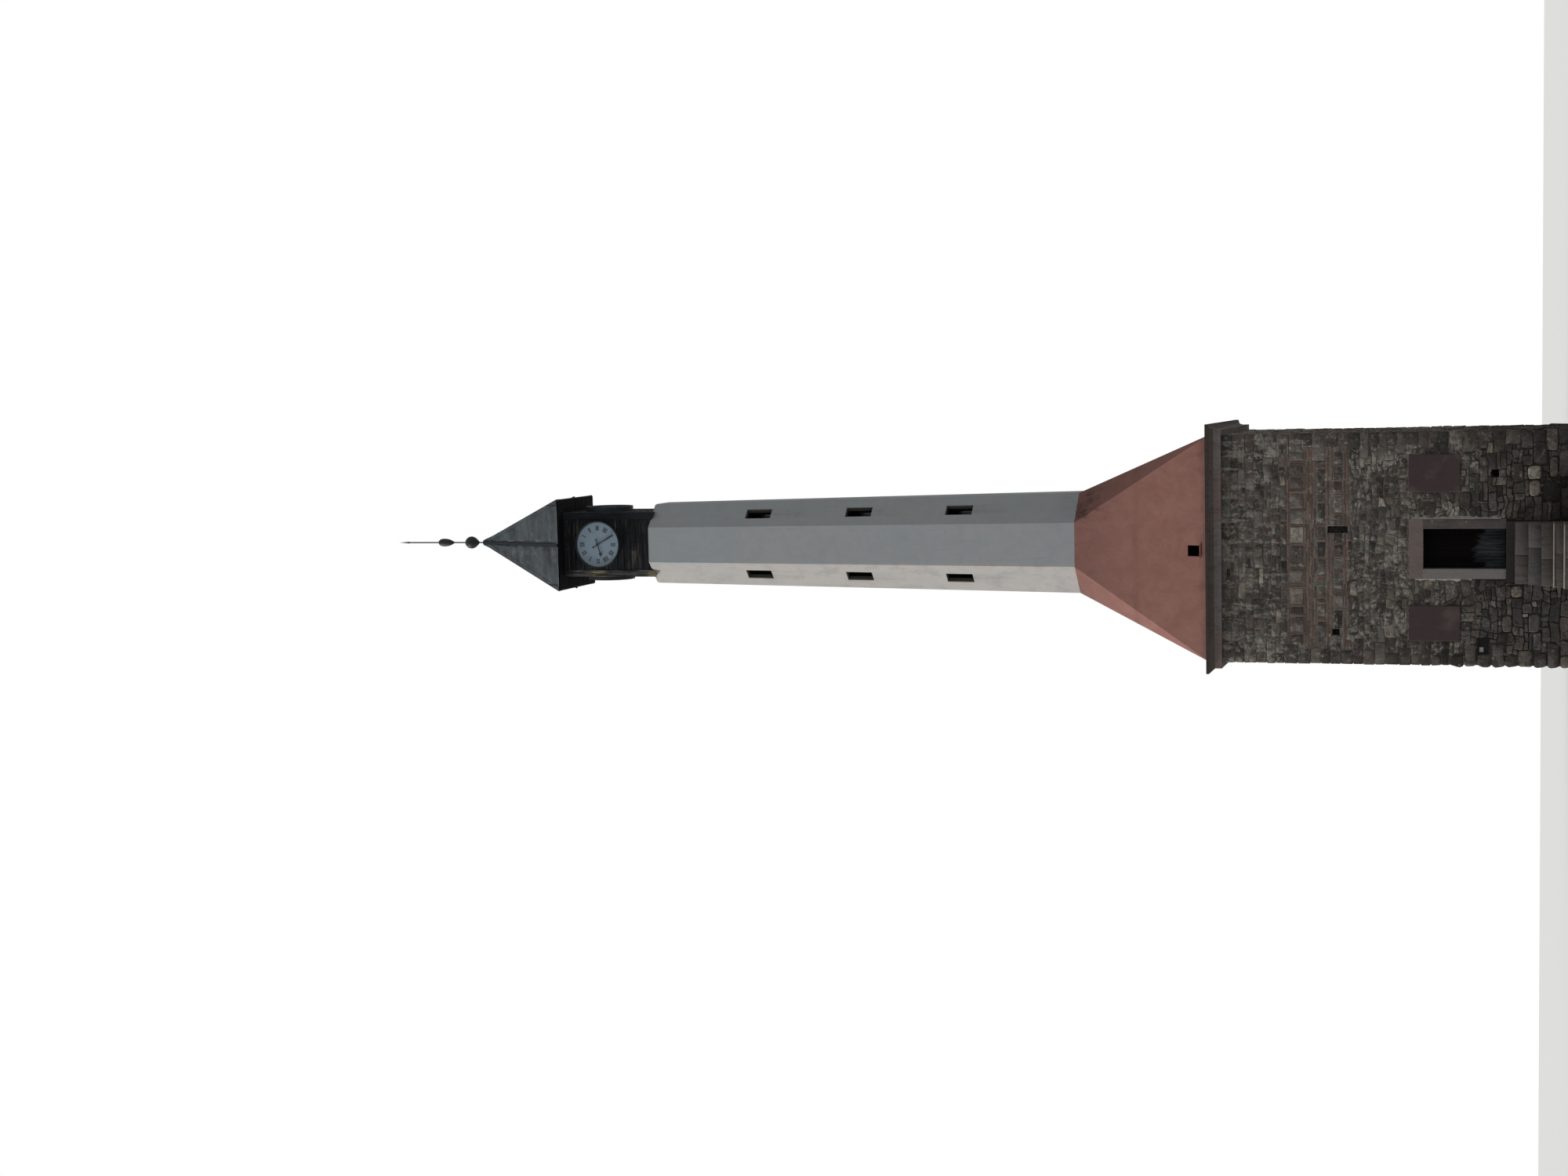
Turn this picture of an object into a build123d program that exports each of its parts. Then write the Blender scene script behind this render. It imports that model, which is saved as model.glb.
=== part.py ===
from build123d import *
import os
from math import atan, cos, degrees, radians, sin, sqrt

# Clock tower: a square stone foot with a stair and a door, a broached pyramid, a tapering
# octagonal shaft with slit windows, a timber clock cabin and a steep sheet-metal roof.
# Millimetres. X to the right, Y away from the door side, Z up from the ground.
# The origin is the middle of the foot, on the ground.

# Square foot
foot_width = 5000
foot_wall = 850
foot_height = 7300

# Doorway and its stone frame
door_clear_width = 866
door_clear_height = 1704
door_sill_level = 1307
jamb_width = 212
jamb_depth = 280
frame_proud = 20
lintel_height = 294
threshold_height = 187
threshold_proud = 90
run_in = 8

# Door leaf, hung on pintles behind the right jamb and opening inward
leaf_thick = 45
leaf_lap = 50
leaf_gap = 5
leaf_foot_gap = 8
batten_height = 110
batten_thick = 25
strap_height = 50
strap_thick = 6
strap_length = 720
batten_shares = (0.12, 0.5, 0.88)
strap_shares = (0.22, 0.78)
pin_radius = 9
pin_gap = 0.3
eye_wall = 5
pin_offset = 18
pin_set_in = 10
pintle_arm = 18
pull_plate_width = 44
pull_plate_height = 190
pull_plate_thick = 6
pull_inset = 48
pull_knob_radius = 19
pull_knob_reach = 52
pull_knob_round = 9.5
pull_level = 915

# Stair in front of the door: levels of the treads from the top one down
stair_width = 1300
stair_shift = -62
tread_levels = (1120, 853, 596, 363, 160)
tread_depth = 290

# Small holes left in the masonry of the front
slit_width = 150
slit_height = 430
slit_centre = (423, 4803)
putlog_size = 155
putlog_right_centre = (1613, 1535)
putlog_left_centre = (-1823, 4842)
putlog_depth = 320

# Bare stone plaques on either side of the door
plaque_right_width = 811
plaque_left_width = 758
plaque_height = 1062
plaque_level = 2243
plaque_thick = 35
plaque_bevel = 8.75
plaque_right_x = 1626
plaque_left_x = -1607

# Cornice round the head of the foot
fascia_out = 136
fascia_height = 160
cove_out = 95
cove_height = 85
fillet_height = 20
cap_out = 258
cap_height = 60
cap_joint = 4

# Broached pyramid, square below and eight-sided above
broach_set_in = 2.5
broach_height = 3223
broach_corner = 14
broach_wall = 500

# Hatch low in the front of the pyramid
hatch_shift = -50
hatch_width = 245
hatch_height = 275
hatch_rise = 173
hatch_sill_thick = 32
hatch_sill_width = 275
hatch_sill_proud = 30

# Eight-sided shaft
shaft_foot_across = 2350
shaft_front_side = 1023
shaft_height = 10634
shaft_top_ratio = 0.8365
shaft_wall = 300

# Slit windows, three on each slanting side
window_width = 300
window_height = 650
window_low_rise = 2817
window_middle_rise = 5300
window_high_rise = 7855
window_cheek = 130
window_inner_width = 460
window_cut = 900

# Timber clock cabin
deck_thick = 40
deck_inset = 18
cabin_width = 1606
cabin_height = 2385
post_size = 170
post_drop = 100
post_gap = 1
sill_height = 140
plate_height = 140
beam_inset = 12
board_thick = 30
board_inset = 20

# Clock dials
dial_level = 1438
case_radius = 585
case_rim = 10
case_proud = 117
face_radius = 552
face_recess = 50
face_thick = 12
face_gap = 0.3
time_hour = 8
time_minute = 25

# Hands: lengths from the arbor, widths and thickness
hand_thick = 5
arbor_radius = 10
tube_radius = 16
arbor_gap = 0.3
arbor_behind = 24
minute_length = 490
minute_width = 40
minute_leaf_start = 402
minute_tail = 132
hour_length = 312
hour_spade_width = 84
hour_spade_foot = 193
hour_spade_level = 243
hour_tail = 128
hand_bar_width = 20
tail_disc_radius = 22
hub_radius = 30
hour_clear = 12
minute_clear = 9
arbor_nose = 8

# Roof
eave_width = 2268
roof_height = 2593
roof_top_width = 44
roof_skin = 55
roof_joint = 6
soffit_thick = 25
soffit_inset = 12
flashing_thick = 14
flashing_width = 150
seam_width = 70
seam_proud = 38
apex_cap_width = 190

# Finial
rod_radius = 18
lower_ball_radius = 158
lower_ball_levels = (120, 340, 525)
upper_ball_radius = 101
upper_ball_levels = (840, 1090, 1290)
spindle_radius = 26
spindle_level = 2140
finial_height = 2440
lower_ball_swell = (1, 1)
upper_ball_swell = (1, 1.6)
ball_taper = (-1, 0.4)

# Values that follow from the sizes above
foot_half = foot_width / 2
broach_foot_width = foot_width - 2 * broach_set_in
room_half = foot_half - foot_wall
opening_half = door_clear_width / 2
bay_half = opening_half + jamb_width
lintel_level = door_sill_level + door_clear_height
bay_top = lintel_level + lintel_height
sill_seat = door_sill_level - threshold_height
jamb_back = -foot_half + jamb_depth
cornice_level = foot_height
cap_level = cornice_level + fascia_height + cove_height + fillet_height
broach_level = cap_level + cap_height
shaft_level = broach_level + broach_height
deck_level = shaft_level + shaft_height
cabin_level = deck_level + deck_thick
cabin_half = cabin_width / 2
eave_level = deck_level + cabin_height
plate_level = eave_level - plate_height
roof_level = eave_level + soffit_thick
apex_level = eave_level + roof_height
wall_face = cabin_half - board_inset
case_front = cabin_half + case_proud
face_front = case_front - face_recess
hour_back = face_front + hour_clear
minute_back = hour_back + hand_thick + minute_clear
sides = {"front": 0, "right": 90, "back": 180, "left": 270}
corners = {"front_right": 45, "back_right": 135, "back_left": 225, "front_left": 315}

os.makedirs("parts", exist_ok=True)


def keep(piece, name):
    piece.label = name
    export_step(piece, f"parts/{name}.step")


def outward(turn):
    """Level direction away from the tower; 0 is the door side, 90 the right side."""
    return Vector(sin(radians(turn)), -cos(radians(turn)), 0)


def section_plane(turn):
    """Upright plane across a wall: its x points outward and its y points up."""
    out = outward(turn)
    return Plane(origin=(0, 0, 0), x_dir=out, z_dir=out.cross(Vector(0, 0, 1)))


def face_plane(turn, distance, level, spin=0):
    """Plane against a wall, seen from outside: x to the right, y up, both turned clockwise by spin."""
    out = outward(turn)
    up = Vector(0, 0, 1)
    origin = out * distance + up * level
    across = up.cross(out) * cos(radians(spin)) - up * sin(radians(spin))
    return Plane(origin=origin, x_dir=across, z_dir=out)


def cut_to_sector(turn, half_angle, joint=0):
    """Mitre the part in hand along two upright planes through the tower's axis."""
    for hand in (-1, 1):
        away = outward(turn + hand * (half_angle + 90))
        plane = Plane(origin=away * (-joint / 2), z_dir=away)
        split(bisect_by=plane, keep=Keep.BOTTOM)


def octagon_points(across, front_side):
    """Corners of an eight-sided outline that is the same on its four main sides."""
    half = across / 2
    side = front_side / 2
    quarter = [(side, -half), (half, -side)]
    points = []
    for step in range(4):
        for x, y in quarter:
            for _ in range(step):
                x, y = -y, x
            points.append((x, y))
    return points


def inset_side(across, front_side, wall):
    """Length of a main side after an eight-sided outline is drawn in by a wall."""
    to_slant = (across / 2 + front_side / 2) / sqrt(2)
    return 2 * (sqrt(2) * (to_slant - wall) - (across / 2 - wall))


# Square foot: plain walls, and a front split beside, over and under the door
with BuildPart() as front_wall_left:
    with BuildSketch(Plane.XY):
        with Locations(((-foot_half - bay_half) / 2, -foot_half + foot_wall / 2)):
            Rectangle(foot_half - bay_half, foot_wall)
    extrude(amount=foot_height)
    with BuildSketch(Plane.XZ.offset(foot_half)):
        with Locations(putlog_left_centre):
            Rectangle(putlog_size, putlog_size)
    extrude(amount=-putlog_depth, mode=Mode.SUBTRACT)
keep(front_wall_left.part, "front_wall_left")

with BuildPart() as front_wall_right:
    with BuildSketch(Plane.XY):
        with Locations(((foot_half + bay_half) / 2, -foot_half + foot_wall / 2)):
            Rectangle(foot_half - bay_half, foot_wall)
    extrude(amount=foot_height)
    with BuildSketch(Plane.XZ.offset(foot_half)):
        with Locations(putlog_right_centre):
            Rectangle(putlog_size, putlog_size)
    extrude(amount=-putlog_depth, mode=Mode.SUBTRACT)
keep(front_wall_right.part, "front_wall_right")

with BuildPart() as front_wall_over_door:
    with BuildSketch(Plane.XY.offset(bay_top)):
        with Locations((0, -foot_half + foot_wall / 2)):
            Rectangle(2 * bay_half, foot_wall)
    extrude(amount=foot_height - bay_top)
    with BuildSketch(Plane.XZ.offset(foot_half)):
        with Locations(slit_centre):
            Rectangle(slit_width, slit_height)
    extrude(amount=-putlog_depth, mode=Mode.SUBTRACT)
keep(front_wall_over_door.part, "front_wall_over_door")

with BuildPart() as front_wall_under_door:
    with BuildSketch(Plane.XY):
        with Locations((0, -foot_half + foot_wall / 2)):
            Rectangle(2 * bay_half, foot_wall)
    extrude(amount=sill_seat)
    with BuildSketch(Plane.XY.offset(sill_seat)):
        with Locations((0, (jamb_back - room_half) / 2)):
            Rectangle(2 * bay_half, -room_half - jamb_back)
    extrude(amount=threshold_height)
keep(front_wall_under_door.part, "front_wall_under_door")

with BuildPart() as back_wall:
    with BuildSketch(Plane.XY):
        with Locations((0, foot_half - foot_wall / 2)):
            Rectangle(foot_width, foot_wall)
    extrude(amount=foot_height)
keep(back_wall.part, "back_wall")

for side_name, hand in (("left_wall", -1), ("right_wall", 1)):
    with BuildPart() as side_wall:
        with BuildSketch(Plane.XY):
            with Locations((hand * (foot_half - foot_wall / 2), 0)):
                Rectangle(foot_wall, 2 * room_half)
        extrude(amount=foot_height)
    keep(side_wall.part, side_name)

# The floor at door level lies on the solid fill between the walls
with BuildPart() as ground_floor:
    with BuildSketch(Plane.XY):
        Rectangle(2 * room_half, 2 * room_half)
    extrude(amount=door_sill_level)
keep(ground_floor.part, "ground_floor")

# Stone frame of the doorway
frame_middle = jamb_back - (jamb_depth + frame_proud) / 2
with BuildPart() as door_jambs:
    with BuildSketch(Plane.XY.offset(door_sill_level)):
        for hand in (-1, 1):
            with Locations((hand * (opening_half + jamb_width / 2), frame_middle)):
                Rectangle(jamb_width, jamb_depth + frame_proud)
    extrude(amount=door_clear_height)
keep(door_jambs.part, "door_jambs")

with BuildPart() as door_lintel:
    with BuildSketch(Plane.XY.offset(lintel_level)):
        with Locations((0, frame_middle)):
            Rectangle(2 * bay_half, jamb_depth + frame_proud)
    extrude(amount=lintel_height)
keep(door_lintel.part, "door_lintel")

with BuildPart() as door_threshold:
    with BuildSketch(Plane.XY.offset(sill_seat)):
        with Locations((0, jamb_back - jamb_depth / 2)):
            Rectangle(2 * bay_half, jamb_depth)
        with Locations((stair_shift, -foot_half - threshold_proud / 2)):
            Rectangle(stair_width, threshold_proud)
    extrude(amount=threshold_height)
keep(door_threshold.part, "door_threshold")

# Stair: one stone course for each tread, every course reaching back to the wall
for index, level in enumerate(tread_levels):
    lower_levels = tread_levels[index + 1:]
    seat = lower_levels[0] if lower_levels else 0
    reach = threshold_proud + (index + 1) * tread_depth
    with BuildPart() as step:
        with BuildSketch(Plane.XY.offset(seat)):
            with Locations((stair_shift, -foot_half - reach / 2)):
                Rectangle(stair_width, reach)
        extrude(amount=level - seat)
    keep(step.part, f"step_{len(tread_levels) - index}")

# Door leaf with its battens, straps and pull
pin_x = opening_half + leaf_lap + pin_offset
leaf_front = jamb_back + leaf_gap
leaf_back = leaf_front + leaf_thick
pin_y = leaf_back + pin_set_in
leaf_foot = door_sill_level + leaf_foot_gap
leaf_height = door_clear_height + leaf_lap - leaf_foot_gap
batten_levels = [leaf_foot + leaf_height * share for share in batten_shares]
strap_levels = [leaf_foot + leaf_height * share for share in strap_shares]

with BuildPart() as door_leaf:
    with BuildSketch(Plane.XY.offset(leaf_foot)):
        with Locations((0, (leaf_front + leaf_back) / 2)):
            Rectangle(door_clear_width + 2 * leaf_lap, leaf_thick)
    extrude(amount=leaf_height)
    with BuildSketch(Plane.XZ.offset(-leaf_back)):
        with Locations(*[(0, level) for level in batten_levels]):
            Rectangle(door_clear_width, batten_height)
    extrude(amount=-batten_thick)
    for level in strap_levels:
        with BuildSketch(Plane.XY.offset(level - strap_height / 2)):
            with Locations((pin_x - strap_length / 2, leaf_back + strap_thick / 2)):
                Rectangle(strap_length, strap_thick)
            with Locations((pin_x, pin_y)):
                Circle(pin_radius + pin_gap + eye_wall)
        extrude(amount=strap_height)
        with BuildSketch(Plane.XY.offset(level - strap_height / 2)):
            with Locations((pin_x, pin_y)):
                Circle(pin_radius + pin_gap)
        extrude(amount=strap_height, mode=Mode.SUBTRACT)
    with BuildSketch(Plane.XZ.offset(-leaf_front)):
        with Locations((-opening_half + pull_inset, door_sill_level + pull_level)):
            Rectangle(pull_plate_width, pull_plate_height)
    extrude(amount=pull_plate_thick)
    with BuildSketch(Plane.XZ.offset(-leaf_front)):
        with Locations((-opening_half + pull_inset, door_sill_level + pull_level)):
            Circle(pull_knob_radius)
    extrude(amount=pull_knob_reach)
    fillet(door_leaf.edges().filter_by(GeomType.CIRCLE).group_by(Axis.Y)[0], pull_knob_round)
keep(door_leaf.part, "door_leaf")

# Pintles: an upright pin on an arm let into the back of the right jamb
with BuildPart() as door_pintles:
    for level in strap_levels:
        arm_top = level - strap_height / 2 - pin_gap
        with BuildSketch(Plane.XY.offset(arm_top - pintle_arm)):
            with Locations((pin_x, (jamb_back + pin_y) / 2)):
                Rectangle(pintle_arm, pin_y - jamb_back)
            with Locations((pin_x, pin_y)):
                Circle(pintle_arm / 2)
        extrude(amount=pintle_arm)
        with BuildSketch(Plane.XY.offset(arm_top)):
            with Locations((pin_x, pin_y)):
                Circle(pin_radius)
        extrude(amount=strap_height + pin_gap + run_in)
keep(door_pintles.part, "door_pintles")

# Plaques
with BuildPart() as plaques:
    with BuildSketch(Plane.XZ.offset(foot_half)):
        with Locations((plaque_right_x, plaque_level + plaque_height / 2)):
            Rectangle(plaque_right_width, plaque_height)
        with Locations((plaque_left_x, plaque_level + plaque_height / 2)):
            Rectangle(plaque_left_width, plaque_height)
    extrude(amount=plaque_thick)
    chamfer(plaques.faces().sort_by(Axis.Y)[:2].edges(), plaque_bevel)
keep(plaques.part, "plaques")

# Cornice: a moulded course mitred at the corners, with a thin capping course
fascia_edge = foot_half + fascia_out
cove_edge = fascia_edge + cove_out
cove_foot = cornice_level + fascia_height
cove_head = cove_foot + cove_height
for side_name, turn in sides.items():
    with BuildPart() as cornice:
        with BuildSketch(section_plane(turn)):
            with BuildLine():
                Polyline((fascia_edge, cove_foot), (fascia_edge, cornice_level), (room_half, cornice_level),
                         (room_half, cap_level), (cove_edge, cap_level), (cove_edge, cove_head))
                RadiusArc((fascia_edge, cove_foot), (cove_edge, cove_head), cove_out)
            make_face()
        extrude(amount=foot_width, both=True)
        cut_to_sector(turn, 45)
    keep(cornice.part, f"cornice_{side_name}")

with BuildPart() as cornice_cap:
    for side_name, turn in sides.items():
        with BuildPart(mode=Mode.PRIVATE) as cap_course:
            with BuildSketch(Plane.XY.offset(cap_level)):
                Rectangle(2 * (foot_half + cap_out), 2 * (foot_half + cap_out))
                Rectangle(2 * room_half, 2 * room_half, mode=Mode.SUBTRACT)
            extrude(amount=cap_height)
            cut_to_sector(turn, 45, cap_joint)
        add(cap_course.part)
keep(cornice_cap.part, "cornice_cap")

# Broached pyramid: four sides of a shell, mitred up the corners
broach_inner_width = broach_foot_width - 2 * broach_wall
shaft_inner_across = shaft_foot_across - 2 * shaft_wall
shaft_inner_side = inset_side(shaft_foot_across, shaft_front_side, shaft_wall)


def corner_cut_side(width):
    """Main side of a square whose corners are cut by the small broach flat."""
    return width - sqrt(2) * broach_corner


with BuildPart() as broach_shell:
    with BuildSketch(Plane.XY.offset(broach_level)):
        Polygon(*octagon_points(broach_foot_width, corner_cut_side(broach_foot_width)), align=None)
    with BuildSketch(Plane.XY.offset(shaft_level)):
        Polygon(*octagon_points(shaft_foot_across, shaft_front_side), align=None)
    loft(ruled=True)
    with BuildSketch(Plane.XY.offset(broach_level)):
        Polygon(*octagon_points(broach_inner_width, corner_cut_side(broach_inner_width)), align=None)
    with BuildSketch(Plane.XY.offset(shaft_level)):
        Polygon(*octagon_points(shaft_inner_across, shaft_inner_side), align=None)
    loft(ruled=True, mode=Mode.SUBTRACT)

for side_name, turn in sides.items():
    with BuildPart() as pyramid:
        add(broach_shell.part)
        cut_to_sector(turn, 45)
        if side_name == "front":
            with BuildSketch(Plane.XY.offset(broach_level + hatch_rise)):
                with Locations((hatch_shift, -broach_foot_width / 4 - broach_inner_width / 4)):
                    Rectangle(hatch_width, 2 * broach_wall)
            extrude(amount=hatch_height, mode=Mode.SUBTRACT)
    keep(pyramid.part, f"pyramid_{side_name}")

# Small sill slab under the hatch, lying against the slope
broach_slope = (broach_foot_width - shaft_foot_across) / 2 / broach_height
sill_top = broach_level + hatch_rise
sill_foot = sill_top - hatch_sill_thick
sill_foot_face = broach_foot_width / 2 - broach_slope * (hatch_rise - hatch_sill_thick)
sill_top_face = broach_foot_width / 2 - broach_slope * hatch_rise
sill_edge = sill_foot_face + hatch_sill_proud
with BuildPart() as hatch_sill:
    with BuildSketch(section_plane(0).offset(-hatch_shift)):
        with BuildLine():
            Polyline((sill_foot_face, sill_foot), (sill_edge, sill_foot), (sill_edge, sill_top),
                     (sill_top_face, sill_top), close=True)
        make_face()
    extrude(amount=hatch_sill_width / 2, both=True)
keep(hatch_sill.part, "hatch_sill")

# Eight-sided shaft: plain main sides, and slanting sides with three slit windows each
shaft_top_across = shaft_foot_across * shaft_top_ratio
shaft_top_side = shaft_front_side * shaft_top_ratio
main_half_angle = degrees(atan(shaft_front_side / shaft_foot_across))
slant_half_angle = 45 - main_half_angle
inner_top_side = inset_side(shaft_top_across, shaft_top_side, shaft_wall)

with BuildPart() as shaft_shell:
    with BuildSketch(Plane.XY.offset(shaft_level)):
        Polygon(*octagon_points(shaft_foot_across, shaft_front_side), align=None)
    with BuildSketch(Plane.XY.offset(deck_level)):
        Polygon(*octagon_points(shaft_top_across, shaft_top_side), align=None)
    loft(ruled=True)
    with BuildSketch(Plane.XY.offset(shaft_level)):
        Polygon(*octagon_points(shaft_inner_across, shaft_inner_side), align=None)
    with BuildSketch(Plane.XY.offset(deck_level)):
        Polygon(*octagon_points(shaft_top_across - 2 * shaft_wall, inner_top_side), align=None)
    loft(ruled=True, mode=Mode.SUBTRACT)


def slant_distance(rise):
    """Distance from the axis to a slanting side, at a height above the shaft's foot."""
    at_foot = (shaft_foot_across + shaft_front_side) / 2 / sqrt(2)
    return at_foot * (1 - (1 - shaft_top_ratio) * rise / shaft_height)


for side_name, turn in sides.items():
    with BuildPart() as shaft_side:
        add(shaft_shell.part)
        cut_to_sector(turn, main_half_angle)
    keep(shaft_side.part, f"shaft_{side_name}")

for corner_name, turn in corners.items():
    with BuildPart() as shaft_slant:
        add(shaft_shell.part)
        cut_to_sector(turn, slant_half_angle)
        for rise in (window_low_rise, window_middle_rise, window_high_rise):
            out = slant_distance(rise)
            with BuildSketch(face_plane(turn, out + window_cheek, shaft_level + rise)):
                Rectangle(window_width, window_height)
            extrude(amount=-window_cut, mode=Mode.SUBTRACT)
            with BuildSketch(face_plane(turn, out - window_cheek, shaft_level + rise)):
                Rectangle(window_inner_width, window_height)
            extrude(amount=-window_cut, mode=Mode.SUBTRACT)
    keep(shaft_slant.part, f"shaft_{corner_name}")

# Deck of boards on the head of the shaft
deck_across = shaft_top_across - 2 * deck_inset
deck_side = inset_side(shaft_top_across, shaft_top_side, deck_inset)
with BuildPart() as shaft_deck:
    with BuildSketch(Plane.XY.offset(deck_level)):
        Polygon(*octagon_points(deck_across, deck_side), align=None)
    extrude(amount=deck_thick)
keep(shaft_deck.part, "shaft_deck")

# Cabin frame: corner posts let down over the slanting sides, each foot cut to a slope
post_middle = cabin_half - post_size / 2
post_corner = sqrt(2) * cabin_half
post_overhang = post_corner - slant_distance(shaft_height)
low_ratio = 1 + (1 - shaft_top_ratio) / shaft_top_ratio * 2 * post_drop / shaft_height
low_across = shaft_top_across * low_ratio
low_side = inset_side(low_across, shaft_top_side * low_ratio, -post_gap)
with BuildPart() as cabin_posts:
    for turn in corners.values():
        out = outward(turn)
        lowest = out * post_corner + Vector(0, 0, deck_level - post_drop)
        foot_cut = Plane(origin=lowest, z_dir=out * post_drop + Vector(0, 0, post_overhang))
        with BuildPart(mode=Mode.PRIVATE) as post:
            with BuildSketch(Plane.XY.offset(deck_level - post_drop)):
                with Locations(out * (sqrt(2) * post_middle)):
                    Rectangle(post_size, post_size)
            extrude(amount=eave_level - deck_level + post_drop)
            split(bisect_by=foot_cut, keep=Keep.TOP)
        add(post.part)
    with BuildSketch(Plane.XY.offset(deck_level - 2 * post_drop)):
        Polygon(*octagon_points(low_across + 2 * post_gap, low_side), align=None)
    extrude(amount=2 * post_drop + deck_thick, mode=Mode.SUBTRACT)
keep(cabin_posts.part, "cabin_posts")

# Sills and head plates between the posts

beam_size = post_size - 2 * beam_inset
beam_length = cabin_width - 2 * post_size
beams_by_name = {"cabin_sills": (cabin_level, sill_height), "cabin_plates": (plate_level, plate_height)}
for beam_name, (level, height) in beams_by_name.items():
    with BuildPart() as beams:
        with BuildSketch(Plane.XY.offset(level)):
            with Locations((0, -post_middle), (0, post_middle)):
                Rectangle(beam_length, beam_size)
            with Locations((-post_middle, 0), (post_middle, 0)):
                Rectangle(beam_size, beam_length)
        extrude(amount=height)
    keep(beams.part, beam_name)

# Boarded walls between the posts, from the sills to the head plates
board_level = cabin_level + sill_height
with BuildPart() as cabin_boarding:
    for turn in sides.values():
        with BuildSketch(face_plane(turn, wall_face, (board_level + plate_level) / 2)):
            Rectangle(beam_length, plate_level - board_level)
        extrude(amount=-board_thick)
keep(cabin_boarding.part, "cabin_boarding")

# Dial cases: a drum with a splayed rim, and the dial set back inside it
dial_height = deck_level + dial_level
with BuildPart() as dial_cases:
    for turn in sides.values():
        with BuildSketch(face_plane(turn, wall_face, dial_height)):
            Circle(case_radius)
        extrude(amount=case_front - wall_face)
        with BuildSketch(face_plane(turn, wall_face, dial_height)):
            Circle(face_radius)
        extrude(amount=face_front - wall_face, mode=Mode.SUBTRACT)
        with BuildSketch(face_plane(turn, face_front, dial_height)):
            Circle(face_radius)
        with BuildSketch(face_plane(turn, case_front, dial_height)):
            Circle(case_radius - case_rim)
        loft(mode=Mode.SUBTRACT)
keep(dial_cases.part, "dial_cases")

with BuildPart() as dial_faces:
    for turn in sides.values():
        with BuildSketch(face_plane(turn, face_front, dial_height)):
            Circle(face_radius - face_gap)
            Circle(tube_radius + arbor_gap, mode=Mode.SUBTRACT)
        extrude(amount=-face_thick)
keep(dial_faces.part, "dial_faces")

# Hands: the hour hand on a tube through the dial, the minute hand on an arbor through the tube
minute_angle = time_minute * 6
hour_angle = time_hour * 30 + time_minute / 2
tube_back = face_front - face_thick - arbor_behind
hand_bar = hand_bar_width / 2
spade_half = hour_spade_width / 2
leaf_half = minute_width / 2
for side_name, turn in sides.items():
    with BuildPart() as hour_hand:
        with BuildSketch(face_plane(turn, hour_back, dial_height, hour_angle)):
            with BuildLine():
                Polyline((hand_bar, -hour_tail), (hand_bar, hour_spade_foot),
                         (spade_half, hour_spade_level), (0, hour_length), (-spade_half, hour_spade_level),
                         (-hand_bar, hour_spade_foot), (-hand_bar, -hour_tail), close=True)
            make_face()
            with Locations((0, -hour_tail)):
                Circle(tail_disc_radius)
            Circle(hub_radius)
        extrude(amount=hand_thick)
        with BuildSketch(face_plane(turn, tube_back, dial_height)):
            Circle(tube_radius)
        extrude(amount=hour_back - tube_back)
        with BuildSketch(face_plane(turn, tube_back, dial_height)):
            Circle(arbor_radius + arbor_gap)
        extrude(amount=hour_back + hand_thick - tube_back, mode=Mode.SUBTRACT)
    keep(hour_hand.part, f"hour_hand_{side_name}")

    with BuildPart() as minute_hand:
        with BuildSketch(face_plane(turn, minute_back, dial_height, minute_angle)):
            with BuildLine():
                Polyline((hand_bar, -minute_tail), (hand_bar, 0), (leaf_half, minute_leaf_start),
                         (0, minute_length), (-leaf_half, minute_leaf_start), (-hand_bar, 0),
                         (-hand_bar, -minute_tail), close=True)
            make_face()
            with Locations((0, -minute_tail)):
                Circle(tail_disc_radius)
            Circle(hub_radius)
        extrude(amount=hand_thick)
        with BuildSketch(face_plane(turn, tube_back - run_in, dial_height)):
            Circle(arbor_radius)
        extrude(amount=minute_back + hand_thick + arbor_nose - tube_back + run_in)
    keep(minute_hand.part, f"minute_hand_{side_name}")

# Boarded soffit under the roof
with BuildPart() as roof_soffit:
    with BuildSketch(Plane.XY.offset(eave_level)):
        Rectangle(eave_width - 2 * soffit_inset, eave_width - 2 * soffit_inset)
    extrude(amount=soffit_thick)
keep(roof_soffit.part, "roof_soffit")


def roof_form(foot, top_level):
    """Solid four-sided roof body of the roof's own pitch, from its width at the foot up to a level."""
    with BuildPart() as form:
        with BuildSketch(Plane.XY.offset(roof_level)):
            Rectangle(foot, foot)
        with BuildSketch(Plane.XY.offset(top_level)):
            top = foot - 2 * roof_run * (top_level - roof_level)
            Rectangle(top, top)
        loft(ruled=True)
    return form.part


# Roof: four covered slopes, open inside up to the solid peak
roof_run = (eave_width - roof_top_width) / 2 / (apex_level - roof_level)
hollow_width = eave_width - 2 * roof_skin
hollow_level = roof_level + (hollow_width - roof_top_width) / 2 / roof_run
with BuildPart() as roof_slopes:
    for turn in sides.values():
        with BuildPart(mode=Mode.PRIVATE) as slope:
            add(roof_form(eave_width, apex_level))
            add(roof_form(hollow_width, hollow_level), mode=Mode.SUBTRACT)
            cut_to_sector(turn, 45, roof_joint)
        add(slope.part)
keep(roof_slopes.part, "roof_slopes")

# Folded strips over the hips and a seam up the middle of each slope
with BuildPart() as roof_seams:
    add(roof_form(eave_width + 2 * seam_proud, apex_level))
    with BuildSketch(Plane.XY.offset(roof_level)):
        Rectangle(2 * eave_width, seam_width)
        Rectangle(seam_width, 2 * eave_width)
    extrude(amount=roof_height, mode=Mode.INTERSECT)

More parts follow.
